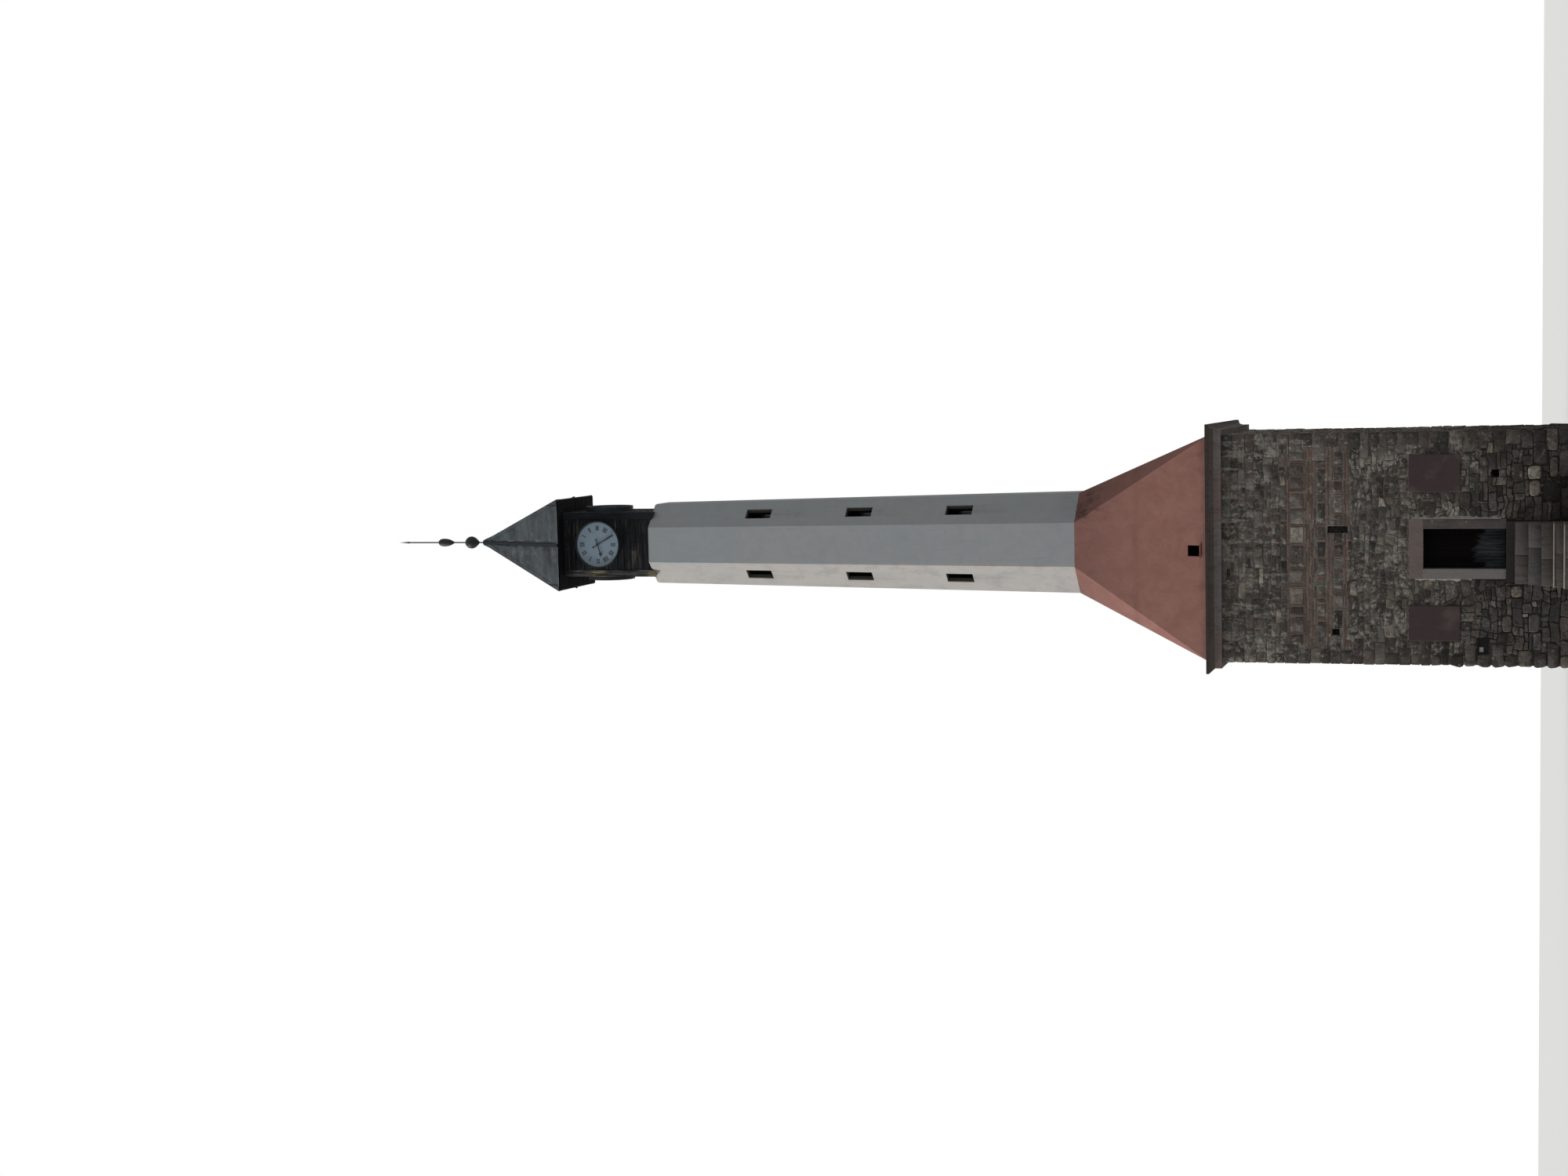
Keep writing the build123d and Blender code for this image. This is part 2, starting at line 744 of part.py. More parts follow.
with BuildPart() as roof_strips:
    add(roof_form(eave_width + 2 * flashing_thick, apex_level))
    with BuildSketch(Plane.XY.offset(roof_level)):
        for turn in (45, 135):
            Rectangle(2 * eave_width, flashing_width, rotation=turn)
        Rectangle(apex_cap_width, apex_cap_width)
    extrude(amount=roof_height, mode=Mode.INTERSECT)
    add(roof_seams.part)
    add(roof_form(eave_width, apex_level), mode=Mode.SUBTRACT)
keep(roof_strips.part, "roof_strips")

# Finial: a rod carrying a pear below and a bud above, ending in a slim spindle
with BuildPart() as finial:
    with BuildSketch(section_plane(0)):
        low_foot, low_wide, low_head = [apex_level + rise for rise in lower_ball_levels]
        high_foot, high_wide, high_head = [apex_level + rise for rise in upper_ball_levels]
        tip = apex_level + finial_height
        spindle_foot = apex_level + spindle_level
        with BuildLine():
            Line((0, apex_level), (rod_radius, apex_level))
            Line((rod_radius, apex_level), (rod_radius, low_foot))
            Spline((rod_radius, low_foot), (lower_ball_radius, low_wide), (rod_radius, low_head),
                   tangents=[lower_ball_swell, ball_taper])
            Line((rod_radius, low_head), (rod_radius, high_foot))
            Spline((rod_radius, high_foot), (upper_ball_radius, high_wide), (rod_radius, high_head),
                   tangents=[upper_ball_swell, ball_taper])
            Line((rod_radius, high_head), (rod_radius, spindle_foot))
            Polyline((rod_radius, spindle_foot), (spindle_radius, spindle_foot), (0, tip), (0, apex_level))
        make_face()
    revolve(axis=Axis.Z)
keep(finial.part, "finial")
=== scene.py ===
"""Dresses the clock tower: laid stone, brick bands, render, timber, dials and sheet metal.

Metres, in the frame of the packed model: X to the right, Y away from the door, Z up.
"""

import math
import random
from collections import namedtuple
from fnmatch import fnmatch

import bmesh
import bpy
from bpy.props import FloatProperty, FloatVectorProperty, IntProperty, PointerProperty
from mathutils import Matrix, Vector, noise


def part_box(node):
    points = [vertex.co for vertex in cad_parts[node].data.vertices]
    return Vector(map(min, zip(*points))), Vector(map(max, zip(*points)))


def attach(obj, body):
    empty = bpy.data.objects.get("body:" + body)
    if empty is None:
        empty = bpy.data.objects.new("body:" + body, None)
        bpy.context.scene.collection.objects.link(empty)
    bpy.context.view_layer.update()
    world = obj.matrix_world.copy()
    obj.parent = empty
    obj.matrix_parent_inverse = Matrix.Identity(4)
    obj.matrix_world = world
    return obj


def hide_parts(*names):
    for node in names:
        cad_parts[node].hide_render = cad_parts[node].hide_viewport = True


bl_info = {
    "name": "Clock tower finishes",
    "version": (1, 0, 0),
    "blender": (4, 5, 0),
    "location": "View3D > Sidebar > Clock tower",
    "description": "Lays the stones, boards, sheets and dials of a clock tower over its packed model",
    "category": "Object",
}

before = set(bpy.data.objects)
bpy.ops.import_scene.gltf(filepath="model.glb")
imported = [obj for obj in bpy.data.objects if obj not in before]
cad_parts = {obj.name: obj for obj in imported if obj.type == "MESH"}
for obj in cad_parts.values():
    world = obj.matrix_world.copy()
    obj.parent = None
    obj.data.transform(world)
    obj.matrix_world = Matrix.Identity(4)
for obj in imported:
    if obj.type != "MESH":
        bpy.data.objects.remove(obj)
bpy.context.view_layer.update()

Patch = namedtuple("Patch", "left right low high")
Zone = namedtuple("Zone", "top heights widths corner proud lime wobble")
Boulder = namedtuple("Boulder", "left right low high pick light proud")
Body = namedtuple("Body", "low high foot head foot_slant head_slant")

# Each face: to the right seen from outside, and away from the tower
FACES = {
    "front": (Vector((1, 0, 0)), Vector((0, -1, 0))),
    "right": (Vector((0, 1, 0)), Vector((1, 0, 0))),
    "back": (Vector((-1, 0, 0)), Vector((0, 1, 0))),
    "left": (Vector((0, -1, 0)), Vector((-1, 0, 0))),
}
CORNERS = (("front", "right"), ("right", "back"), ("back", "left"), ("left", "front"))
NUMERALS = ("I", "II", "III", "IIII", "V", "VI", "VII", "VIII", "IX", "X", "XI", "XII")

FOOT_HALF, FOOT_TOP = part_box("back_wall")[1].yz
BANDS_FOOT, BANDS_HEAD = 4.567, 5.895
BOULDERS_HEAD = 2.3
CORNICE_FOOT, CORNICE_HEAD = FOOT_TOP + 0.160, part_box("cornice_front")[1].z
CORNICE_FASCIA, CORNICE_COVE, CORNICE_RISE = 0.136, 0.095, 0.085
CORNICE_SKIN = 0.004
DIAL_FACE_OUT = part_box("dial_faces")[1].x
DIAL_LEVEL = sum(corner.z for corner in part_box("dial_cases")) / 2
POST_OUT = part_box("cabin_posts")[1].x
POST_SIZE = 0.170
POST_WORN_AT, POST_WORN_FOOT = 22.93, 21.72
BOARD_JOINTS = (21.582, 21.752, 21.932, 22.082, 22.245)
SOFFIT_BOARDS = 18
DOOR_HALF = 0.433
LEAF_FACE = -2.215
LINTEL_FOOT = 3.005
DOOR_FOOT = 1.31
STRAP_MIDDLE, STRAP_APART = 2.188, 0.489
PULL_X, PULL_Z = -0.385, 2.222
PLAQUE_LEFT_END, PLAQUE_RIGHT_START = -1.228, 1.2205
SLIT = Patch(0.348, 0.498, 4.588, 5.018)
PUTLOG_HOLES = (Patch(1.5355, 1.6905, 1.4575, 1.6125), Patch(-1.9005, -1.7455, 4.7645, 4.9195))
WALL_BOX = Patch(-2.273, -1.915, 1.652, 1.892)
EAVE_LOW, EAVE_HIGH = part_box("roof_slopes")
ROOF_CORNER_LINE = 0.995
ROOF_TOP_HALF = 0.022
ROOF_RUN = (EAVE_HIGH.x - ROOF_TOP_HALF) / (EAVE_HIGH.z - EAVE_LOW.z)
ROOF_CAP_FOOT = 26.10
HIP_COVER = 0.104
SEAM_HALF = 0.036
FLOOR_REACH = 400.0

SHAFT_LOW, SHAFT_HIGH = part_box("shaft_front")
SHAFT_HALF, SHAFT_TAPER = -SHAFT_LOW.y, 0.8365
SHAFT_SLANT = (SHAFT_HIGH.x - SHAFT_LOW.y) * math.sqrt(0.5)
WINDOW_SILLS = tuple(SHAFT_LOW.z + rise for rise in (2.492, 4.975, 7.530))
SHAFT = Body(
    SHAFT_LOW.z, SHAFT_HIGH.z, SHAFT_HALF, SHAFT_HALF * SHAFT_TAPER, SHAFT_SLANT, SHAFT_SLANT * SHAFT_TAPER
)
PYRAMID_LOW, PYRAMID_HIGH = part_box("pyramid_front")
PYRAMID_LIFT = 9.32
PYRAMID = Body(
    PYRAMID_LOW.z, PYRAMID_HIGH.z, -PYRAMID_LOW.y, SHAFT_HALF, -PYRAMID_LOW.y * math.sqrt(2), SHAFT_SLANT
)


# Settings a user would change


def shade(name, description, default):
    """A colour setting, as it looks on screen."""
    return FloatVectorProperty(
        name=name, description=description, default=default, size=3, min=0, max=1, subtype="COLOR_GAMMA"
    )


def length(name, description, default):
    """A size in metres."""
    return FloatProperty(
        name=name, description=description, default=default, min=0, max=50, subtype="DISTANCE", unit="LENGTH"
    )


def number(name, description, default, low, high, **more):
    """A plain number or an angle."""
    return FloatProperty(name=name, description=description, default=default, min=low, max=high, **more)


class TowerColours(bpy.types.PropertyGroup):
    """Colours of the stone, the render, the timber and the metal."""

    slate: shade("Dark stone", "Darkest of the wall's stones", (0.20, 0.195, 0.195))
    brown: shade("Brown stone", "Grey-brown stone, the commonest", (0.290, 0.270, 0.253))
    plum: shade("Plum stone", "Purple-brown stone", (0.305, 0.268, 0.256))
    grey: shade("Grey stone", "Plain grey stone", (0.330, 0.322, 0.308))
    sand: shade("Sand stone", "Warm beige stone", (0.415, 0.385, 0.345))
    cream: shade("Cream stone", "Palest of the stones", (0.52, 0.50, 0.465))
    lime: shade("Lime bloom", "Whitish lime that has run over the stones", (0.560, 0.543, 0.515))
    soot: shade("Soot", "Dark dirt in hollows and under ledges", (0.12, 0.115, 0.11))
    mortar: shade("Mortar", "Lime mortar of the upper foot", (0.385, 0.366, 0.342))
    # Also the base of the threshold and inner floor, darkened there as painted shade
    mortar_deep: shade("Washed joint", "Washed-out joints near the ground", (0.145, 0.135, 0.125))
    brick: shade("Brick", "Thin bricks of the bands", (0.295, 0.225, 0.203))
    brick_pale: shade("Pale brick", "Paler, rubbed bricks", (0.385, 0.312, 0.285))
    dressed: shade("Dressed stone", "Door frame", (0.415, 0.395, 0.40))
    dressed_warm: shade("Warm dressed stone", "Pinkish beds in the door frame", (0.395, 0.352, 0.332))
    step: shade("Steps", "Worn steps", (0.262, 0.252, 0.252))
    step_warm: shade("Warm steps", "Brownish beds in the steps", (0.275, 0.245, 0.228))
    cornice: shade("Cornice", "Pinkish-grey cornice blocks", (0.355, 0.338, 0.334))
    cornice_warm: shade("Warm cornice", "Pinker cornice blocks", (0.35, 0.305, 0.292))
    mould: shade("Moulding", "Brown-grey blocks of the hollow course", (0.275, 0.25, 0.24))
    mould_warm: shade("Warm moulding", "Browner blocks of the hollow course", (0.285, 0.245, 0.228))
    capping: shade("Capping", "Thin dark capping course", (0.20, 0.185, 0.18))
    plaque: shade("Plaque", "Polished red-brown stone of the plaques", (0.145, 0.088, 0.090))
    red: shade("Red render", "Render of the pyramid", (0.448, 0.312, 0.282))
    red_worn: shade("Worn red render", "Washed places of the pyramid", (0.474, 0.340, 0.308))
    # Also the painted shadow of the shaft on the pyramid's head
    red_stain_and_shade: shade("Red stain", "Run-off stains on the pyramid", (0.355, 0.250, 0.232))
    shaft: shade("Grey render", "Render of the shaft", (0.508, 0.520, 0.528))
    # Mostly painted sunlight on the shaft's left side, partly warmer patches
    shaft_warm_and_sunlit: shade("Warm grey render", "Warmer patches of the shaft", (0.56, 0.544, 0.528))
    shaft_stain: shade("Grey stain", "Soft stains on the shaft", (0.42, 0.425, 0.425))
    # Painted shade: darkens the sides of the window recesses
    reveal: shade("Reveal", "Dull sides of the window slits", (0.245, 0.235, 0.205))
    inside: shade("Inside", "Unlit inside of the pyramid and the shaft", (0.035, 0.035, 0.04))
    post: shade("Post", "Dark weathered posts", (0.115, 0.122, 0.138))
    post_worn: shade("Worn post", "Grey bared wood", (0.30, 0.295, 0.285))
    post_yellow: shade("Yellow wear", "Yellowish streaks of old paint", (0.43, 0.40, 0.31))
    board: shade("Board", "Dark boards of the cabin", (0.083, 0.087, 0.100))
    board_brown: shade("Brown board", "Brown wood where the paint has gone", (0.235, 0.222, 0.190))
    # Painted shade: near black, for the shade under the eaves
    soffit: shade("Soffit", "Boards under the eaves", (0.040, 0.042, 0.052))
    check: shade("Check", "Dark cracks along the grain", (0.02, 0.02, 0.025))
    # Partly painted shade: near black for the shade of the door's recess
    plank_and_recess_shade: shade("Plank", "Dark door planks", (0.045, 0.034, 0.036))
    plank_worn: shade("Worn plank", "Grey bared wood at the door's foot", (0.225, 0.235, 0.250))
    plank_wet: shade("Wet plank", "Lowest edge of the door", (0.04, 0.04, 0.04))
    sheet: shade("Roof sheet", "Grey-green roof sheet", (0.236, 0.256, 0.268))
    sheet_dull: shade("Dull sheet", "Duller, stained places of the sheet", (0.190, 0.208, 0.220))
    sheet_bright: shade("Rubbed sheet", "Brighter rubbed folds", (0.42, 0.44, 0.44))
    # Also the painted shadow on the sheets beside the roof's middle seams
    strip: shade("Fold", "Dark seams and corner lines of the roof", (0.078, 0.087, 0.105))
    finial: shade("Finial", "Dark metal of the finial", (0.135, 0.15, 0.16))
    iron: shade("Iron", "Blackened iron", (0.085, 0.08, 0.08))
    case: shade("Dial case", "Painted sheet of the dial cases", (0.135, 0.150, 0.165))
    enamel: shade("Dial", "Pale blue-grey enamel", (0.415, 0.468, 0.508))
    numeral: shade("Numerals", "Dark grey paint", (0.205, 0.22, 0.245))
    hour: shade("Hour hand", "Dark grey paint", (0.15, 0.155, 0.175))
    minute: shade("Minute hand", "Dark reddish-brown paint", (0.165, 0.145, 0.16))
    label: shade("Plate", "Bare pale plate in the wall box", (0.45, 0.45, 0.435))


class TowerSizes(bpy.types.PropertyGroup):
    """Sizes of the stones, the boards, the numerals and the roof's sheets."""

    joint: length("Joint", "Usual gap between stones", 0.014)
    brick_height: length("Brick height", "Height of the thin bricks", 0.038)
    brick_length: length("Brick length", "Length of the thin bricks", 0.29)
    brick_proud: length("Brick proud", "How far the bricks stand out of the mortar", 0.009)
    quoin_proud: length("Quoin proud", "How far the corner stones stand out", 0.018)
    quoin_long: length("Quoin, long leg", "Usual longer side of a corner stone", 0.46)
    quoin_short: length("Quoin, short leg", "Usual shorter side of a corner stone", 0.25)
    block_joint: length("Block joint", "Gap between dressed blocks", 0.005)
    fascia_block: length("Flat course", "Usual length of a block of the cornice's flat course", 0.88)
    mould_block: length("Hollow course", "Usual length of a block of its hollow course", 0.62)
    # Painted light: the pale top of the two lowest treads stands in for sunlight on them
    painted_light_nosing: length("Nosing", "Height of the pale edge of the lowest treads", 0.030)
    board_gap: length("Board gap", "Open joint between boards", 0.010)
    board_tilt: length("Board tilt", "How far a board's foot stands out of its head", 0.006)
    plank_gap: length("Plank gap", "Open joint between door planks", 0.005)
    plank_proud: length("Plank proud", "How far the planks stand out of the leaf", 0.005)
    numeral_radius: length("Numeral radius", "From the arbor to the middle of a numeral", 0.414)
    numeral_height: length("Numeral height", "Height of a numeral", 0.112)
    numeral_thick: length("Numeral thickness", "How far a numeral stands out of the dial", 0.0025)
    sheet: length("Sheet", "Thickness of a roof sheet with its fold", 0.004)
    dent: length("Dent", "Depth of the dents in the sheets", 0.036)
    eave_fold: length("Eave fold", "Height of the folded edge at the eaves", 0.016)
    planks: IntProperty(name="Planks", description="Number of door planks", default=7, min=2, max=12)
    seed: IntProperty(name="Seed", description="Another number, other stones", default=11, min=0)


class TowerStage(bpy.types.PropertyGroup):
    """The viewpoint, the floor and the light."""

    lens: number("Lens", "Focal length in millimetres", 52.304, 10, 300)
    pitch: number("Pitch", "Camera's tilt above the level", 0.319430, -1.6, 1.6, subtype="ANGLE")
    roll: number("Roll", "Camera's roll from upright", -0.004957, -3.2, 3.2, subtype="ANGLE")
    heading: number("Heading", "Camera's turn to the left", 0.090775, -3.2, 3.2, subtype="ANGLE")
    place: FloatVectorProperty(
        name="Place", description="Where the camera stands", default=(3.704, -53.211, 0.668), subtype="XYZ"
    )
    floor: shade("Floor", "Plain pale floor", (0.80, 0.80, 0.79))
    backdrop: shade("Backdrop", "White behind the tower", (1.0, 1.0, 1.0))
    ambient: number("Ambient", "Strength of the even light from all round", 0.54, 0, 5)
    key: number("Key light", "Strength of the soft light from the left", 3.9, 0, 20)


SETTINGS = {"tower_colours": TowerColours, "tower_sizes": TowerSizes, "tower_stage": TowerStage}


# Shaders


def paint(colour):
    """A screen colour as the shader's own, with full alpha."""
    return [c / 12.92 if c <= 0.04045 else ((c + 0.055) / 1.055) ** 2.4 for c in colour] + [1.0]


class Wire:
    """A value in a shader. Python's operators on it add Math nodes."""

    def __init__(self, nodes, socket):
        self.nodes = nodes
        self.socket = socket

    def _math(self, operation, first, second):
        return self.nodes.node("ShaderNodeMath", 0, {"operation": operation}, {0: first, 1: second})

    def __add__(self, other):
        return self._math("ADD", self, other)

    def __radd__(self, other):
        return self._math("ADD", other, self)

    def __sub__(self, other):
        return self._math("SUBTRACT", self, other)

    def __rsub__(self, other):
        return self._math("SUBTRACT", other, self)

    def __mul__(self, other):
        return self._math("MULTIPLY", self, other)

    def __rmul__(self, other):
        return self._math("MULTIPLY", other, self)

    def __abs__(self):
        return self._math("ABSOLUTE", self, 0.0)

    def or_more(self, other):
        """The larger of the two."""
        return self._math("MAXIMUM", self, other)

    def or_less(self, other):
        """The smaller of the two."""
        return self._math("MINIMUM", self, other)

    def step(self, low, high):
        """0 below low, 1 above high and a soft step between; the other way round where low is the larger."""
        inputs = {"Value": self, "From Min": low, "From Max": high}
        return self.nodes.node("ShaderNodeMapRange", "Result", {"interpolation_type": "SMOOTHSTEP"}, inputs)


class Nodes:
    """A node tree in the making."""

    def __init__(self, tree):
        self.tree = tree

    def node(self, kind, output=0, settings=None, inputs=None):
        """Adds a node of a kind, sets it, gives its sockets their values or links, and gives one output."""
        made = self.tree.nodes.new(kind)
        for name, value in (settings or {}).items():
            if name == "stops":
                while len(made.color_ramp.elements) < len(value):
                    made.color_ramp.elements.new(0.5)
                for stop, (place, colour) in zip(made.color_ramp.elements, value):
                    stop.position = place
                    stop.color = paint(colour)
            else:
                setattr(made, name, value)
        for name, value in (inputs or {}).items():
            self.feed(made.inputs[name], value)
        return Wire(self, made.outputs[output])

    def feed(self, socket, value):
        """Links a wire to a socket, or sets the socket's own value."""
        if isinstance(value, Wire):
            self.tree.links.new(value.socket, socket)
        else:
            socket.default_value = value


class Finish(Nodes):
    """A material in the making: a Principled shader and the nodes that feed it."""

    def __init__(self, name):
        self.material = bpy.data.materials.new(name)
        self.material.use_nodes = True
        super().__init__(self.material.node_tree)
        self.here = self.node("ShaderNodeTexCoord", "Object")
        self.x, self.y, self.z = self.split(self.here)

    def split(self, vector):
        """The three coordinates of a place, or the three channels of a colour."""
        return [self.node("ShaderNodeSeparateXYZ", axis, None, {"Vector": vector}) for axis in "XYZ"]

    def tone(self):
        """The tone that the maker gave each stone, board or block: its pick, its lightness and its lime, or on
        the stair the mark of its painted light.
        """
        return self.split(self.node("ShaderNodeAttribute", "Color", {"attribute_name": "tone"}))

    def noise(self, scale, detail, rough, warp=0.0, stretch=None):
        """Cloudy noise from 0 to 1, of so many waves a metre, or of so many along each axis."""
        place = self.here
        if stretch:
            place = self.node("ShaderNodeVectorMath", 0, {"operation": "MULTIPLY"}, {0: place, 1: stretch})
        inputs = {"Vector": place, "Scale": scale, "Detail": detail, "Roughness": rough, "Distortion": warp}
        return self.node("ShaderNodeTexNoise", "Fac", None, inputs)

    def cells(self, scale):
        """Distance to scattered points, for pits, grit and chips."""
        return self.node("ShaderNodeTexVoronoi", "Distance", None, {"Vector": self.here, "Scale": scale})

    def under(self, body):
        """How far a place lies under the sides of a tapering eight-sided body."""
        height, rise = self.z - body.low, body.high - body.low
        half = height * ((body.head - body.foot) / rise) + body.foot
        slant = height * ((body.head_slant - body.foot_slant) / rise) + body.foot_slant
        x, y = abs(self.x), abs(self.y)
        return (half - x.or_more(y)).or_less(slant - (x + y) * math.sqrt(0.5))

    def ramp(self, value, *stops):
        """A colour from a row of (place, colour) stops."""
        return self.node("ShaderNodeValToRGB", "Color", {"stops": stops}, {"Fac": value})

    def mix(self, amount, first, second):
        """Two colours mixed; each is a wire or a screen colour."""
        first, second = (c if isinstance(c, Wire) else paint(c) for c in (first, second))
        settings = {"data_type": "RGBA", "blend_type": "MIX", "clamp_factor": True}
        return self.node("ShaderNodeMix", 2, settings, {0: amount, 6: first, 7: second})

    def coats(self, colour, *coats):
        """A colour under coats of others, each (how much of it, its colour)."""
        for amount, coat in coats:
            colour = self.mix(amount, colour, coat)
        return colour

    def shaded(self, colour, value, low, high):
        """A colour made darker and lighter by a value from 0 to 1."""
        colour = colour if isinstance(colour, Wire) else paint(colour)[:3]
        inputs = {0: colour, "Scale": value * (high - low) + low}
        return self.node("ShaderNodeVectorMath", 0, {"operation": "SCALE"}, inputs)

    def done(self, colour, roughness, height=None, depth=0.0, strength=0.0, gloss=0.1, metallic=0.0):
        """Feeds the shader."""
        values = {
            "Base Color": colour,
            "Roughness": roughness,
            "Specular IOR Level": gloss,
            "Metallic": metallic,
        }
        if height is not None:
            bump = {"Strength": strength, "Distance": depth, "Height": height}
            values["Normal"] = self.node("ShaderNodeBump", "Normal", None, bump)
        for name, value in values.items():
            self.feed(self.tree.nodes["Principled BSDF"].inputs[name], value)
        return self.material


# Finishes; in each, f is the finish in the making and c holds the tower's colours


def lime_smear(f):
    """Where mortar has been smeared over stones and joints alike, the same for every finish of the wall."""
    patch, rag = f.noise(1.2, 6, 0.66, 0.7), f.noise(7.5, 7, 0.74, 0.8)
    run = f.noise(1, 6, 0.66, 0.5, (6.5, 6.5, 1.1))
    pointed = f.z.step(1.5, 2.6) * 0.034 - f.z.step(4.4, 4.8) * 0.020
    low = patch * 0.50 + rag * 0.50 + pointed - 0.010
    washed = run * 0.55 + rag * 0.45 + f.z.step(5.7, 6.3) * 0.040 - 0.020
    return low.or_more(washed).step(0.528, 0.588)


def laid_stone(f, c):
    """Rubble and corner stones: each its own colour, smeared with lime and with dirt in its hollows."""
    pick, light, lime = f.tone()
    grain = f.noise(42, 7, 0.7)
    rough = f.noise(12, 6, 0.68, 0.3).step(0.26, 0.74)
    blotch = f.noise(4.8, 5, 0.62, 0.5).step(0.28, 0.72)
    kinds = (c.slate, c.brown, c.plum, c.grey, c.brown, c.sand, c.cream)
    stops = zip((0.0, 0.20, 0.38, 0.52, 0.70, 0.86, 1.0), kinds)
    colour = f.shaded(f.ramp(pick + (blotch - 0.5) * 0.14, *stops), light, 0.50, 1.42)
    colour = f.shaded(colour, grain * 0.20 + rough * 0.40 + blotch * 0.40, 0.55, 1.45)
    dirt = (f.noise(1.9, 6, 0.68, 0.4) * 0.7 + rough * 0.3).step(0.49, 0.62)
    damp = (f.z + (f.noise(1.3, 4, 0.6) - 0.5) * 2.0).step(4.9, 1.2)
    pits = f.cells(38).step(0.20, 0.04)
    bloom = lime_smear(f) * (lime + (rough - 0.5) * 0.6).step(0.0, 0.50)
    colour = f.coats(
        colour,
        (pits * 0.15 + dirt * 0.50 + damp * 0.27, c.soot),
        (bloom * 0.72, f.mix(rough, c.mortar, c.lime)),
    )
    f.done(colour, 0.95 - bloom * 0.1, grain * 0.7 + rough * 0.5 + blotch * 0.5 - pits * 0.2, 0.030, 0.9)


def lime_mortar(f, c, fresh=0.0):
    """Mortar between the stones: pale and rough above, washed out near the ground; paler where fresh."""
    grain, patch = f.noise(60, 6, 0.7), f.noise(1.5, 6, 0.62, 0.6)
    rough = f.noise(12, 6, 0.68, 0.3).step(0.26, 0.74)
    colour = f.shaded(f.mix(patch, c.mortar, c.brown), grain * 0.4 + rough * 0.6, 0.60, 1.40)
    framed = f.z.step(BANDS_FOOT - 0.067, BANDS_FOOT + 0.053) * f.z.step(BANDS_HEAD + 0.055, BANDS_HEAD - 0.045)
    bloom = lime_smear(f).or_more(framed * 0.20).or_more(fresh)
    colour = f.coats(
        colour,
        ((f.z + (patch - 0.5) * 4.0).step(3.4, 1.4) * 0.85, c.mortar_deep),
        (bloom * 0.76, f.mix(rough.or_more(fresh), c.mortar, c.lime)),
    )
    f.done(colour, 0.97, f.cells(46) * 0.5 + grain * 0.4 + rough, 0.025, 0.9)


def fired_brick(f, c):
    """Thin bricks of the bands."""
    pick, light, _ = f.tone()
    grain, cloud = f.noise(48, 6, 0.66), f.noise(3.1, 4, 0.6)
    colour = f.shaded(f.mix(pick, c.brick, c.brick_pale), light, 0.75, 1.2)
    colour = f.shaded(colour, grain * 0.6 + cloud * 0.4, 0.68, 1.28)
    worn = (cloud + (grain - 0.5) * 0.4).step(0.55, 0.75)
    f.done(f.mix(worn * 0.35, colour, c.mortar), 0.93, grain, 0.008, 0.7, 0.2)


def dressed_stone(f, c, base, warm, pale=None):
    """Tooled blocks: soft beds of a warmer colour, coarse worn faces, run-off and dirt."""
    pick, light, painted_light_nosing = f.tone()
    grain, rough = f.noise(70, 6, 0.7), f.noise(11, 6, 0.68, 0.4)
    beds = f.noise(2.2, 5, 0.62, 0.8, (1, 1, 2.2))
    streak = f.noise(1, 6, 0.64, 0.4, (8, 8, 1.3))
    colour = f.mix((beds * 0.6 + pick * 0.4).step(0.36, 0.64), base, warm)
    colour = f.shaded(colour, light, 0.84, 1.16)
    colour = f.shaded(colour, grain * 0.3 + rough * 0.4 + beds * 0.3, 0.58, 1.42)
    grime = (streak * 0.6 + rough * 0.4).step(0.46, 0.66)
    chips = f.cells(16).step(0.10, 0.03)
    colour = f.mix(grime * 0.5 + chips * 0.2, colour, c.soot)
    # Painted light: the stair's marked top slab is mixed pale, as if sunlit
    if pale:
        colour = f.mix(painted_light_nosing * (rough * 0.8 + 0.25), colour, pale)
    f.done(colour, 0.86 + grime * 0.1, grain * 0.3 + rough + beds * 0.4 - chips * 0.4, 0.016, 0.7, 0.2)


def frame_stone(f, c):
    """The door frame: a pale left jamb, a browner right one and a pinkish lintel, all rubbed and stained."""
    grain, rough = f.noise(70, 6, 0.7), f.noise(12, 6, 0.68, 0.4)
    beds = f.noise(1.6, 5, 0.64, 0.9)
    streak = f.noise(1, 6, 0.64, 0.4, (9, 9, 1.1))
    right = (f.x + (rough - 0.5) * 0.05).step(0.38, 0.46)
    over = (f.z + (rough - 0.5) * 0.03).step(LINTEL_FOOT, LINTEL_FOOT + 0.015)
    colour = f.mix(right, f.mix(beds, c.dressed, c.grey), f.mix(beds, c.slate, c.plum))
    colour = f.mix(over, colour, f.mix(beds, c.dressed_warm, c.plum))
    colour = f.shaded(colour, grain * 0.3 + rough * 0.45 + beds * 0.25, 0.60, 1.40)
    grime = (streak * 0.55 + rough * 0.45).step(0.47, 0.64) * (right * 0.5 + 0.5)
    lime = (beds * 0.5 + rough * 0.5).step(0.55, 0.66) * abs(f.x).step(0.50, 0.62)
    colour = f.coats(colour, (grime * 0.5, c.soot), (lime * 0.5, c.lime))
    f.done(colour, 0.88, grain * 0.3 + rough + beds * 0.4, 0.010, 0.7, 0.18)


def bare_plaque(f, c):
    """Polished stone of the plaques, clouded and with fine flecks."""
    fleck, cloud, dust = f.cells(160), f.noise(5.5, 5, 0.6, 0.8), f.noise(1.7, 4, 0.6)
    colour = f.shaded(f.mix(cloud * 0.12, c.plaque, c.plum), fleck * 0.6 + cloud * 0.4, 0.75, 1.25)
    colour = f.mix(dust.step(0.50, 0.75) * 0.10, colour, c.lime)
    f.done(colour, 0.45 + dust * 0.3, fleck, 0.0008, 0.25, 0.25)


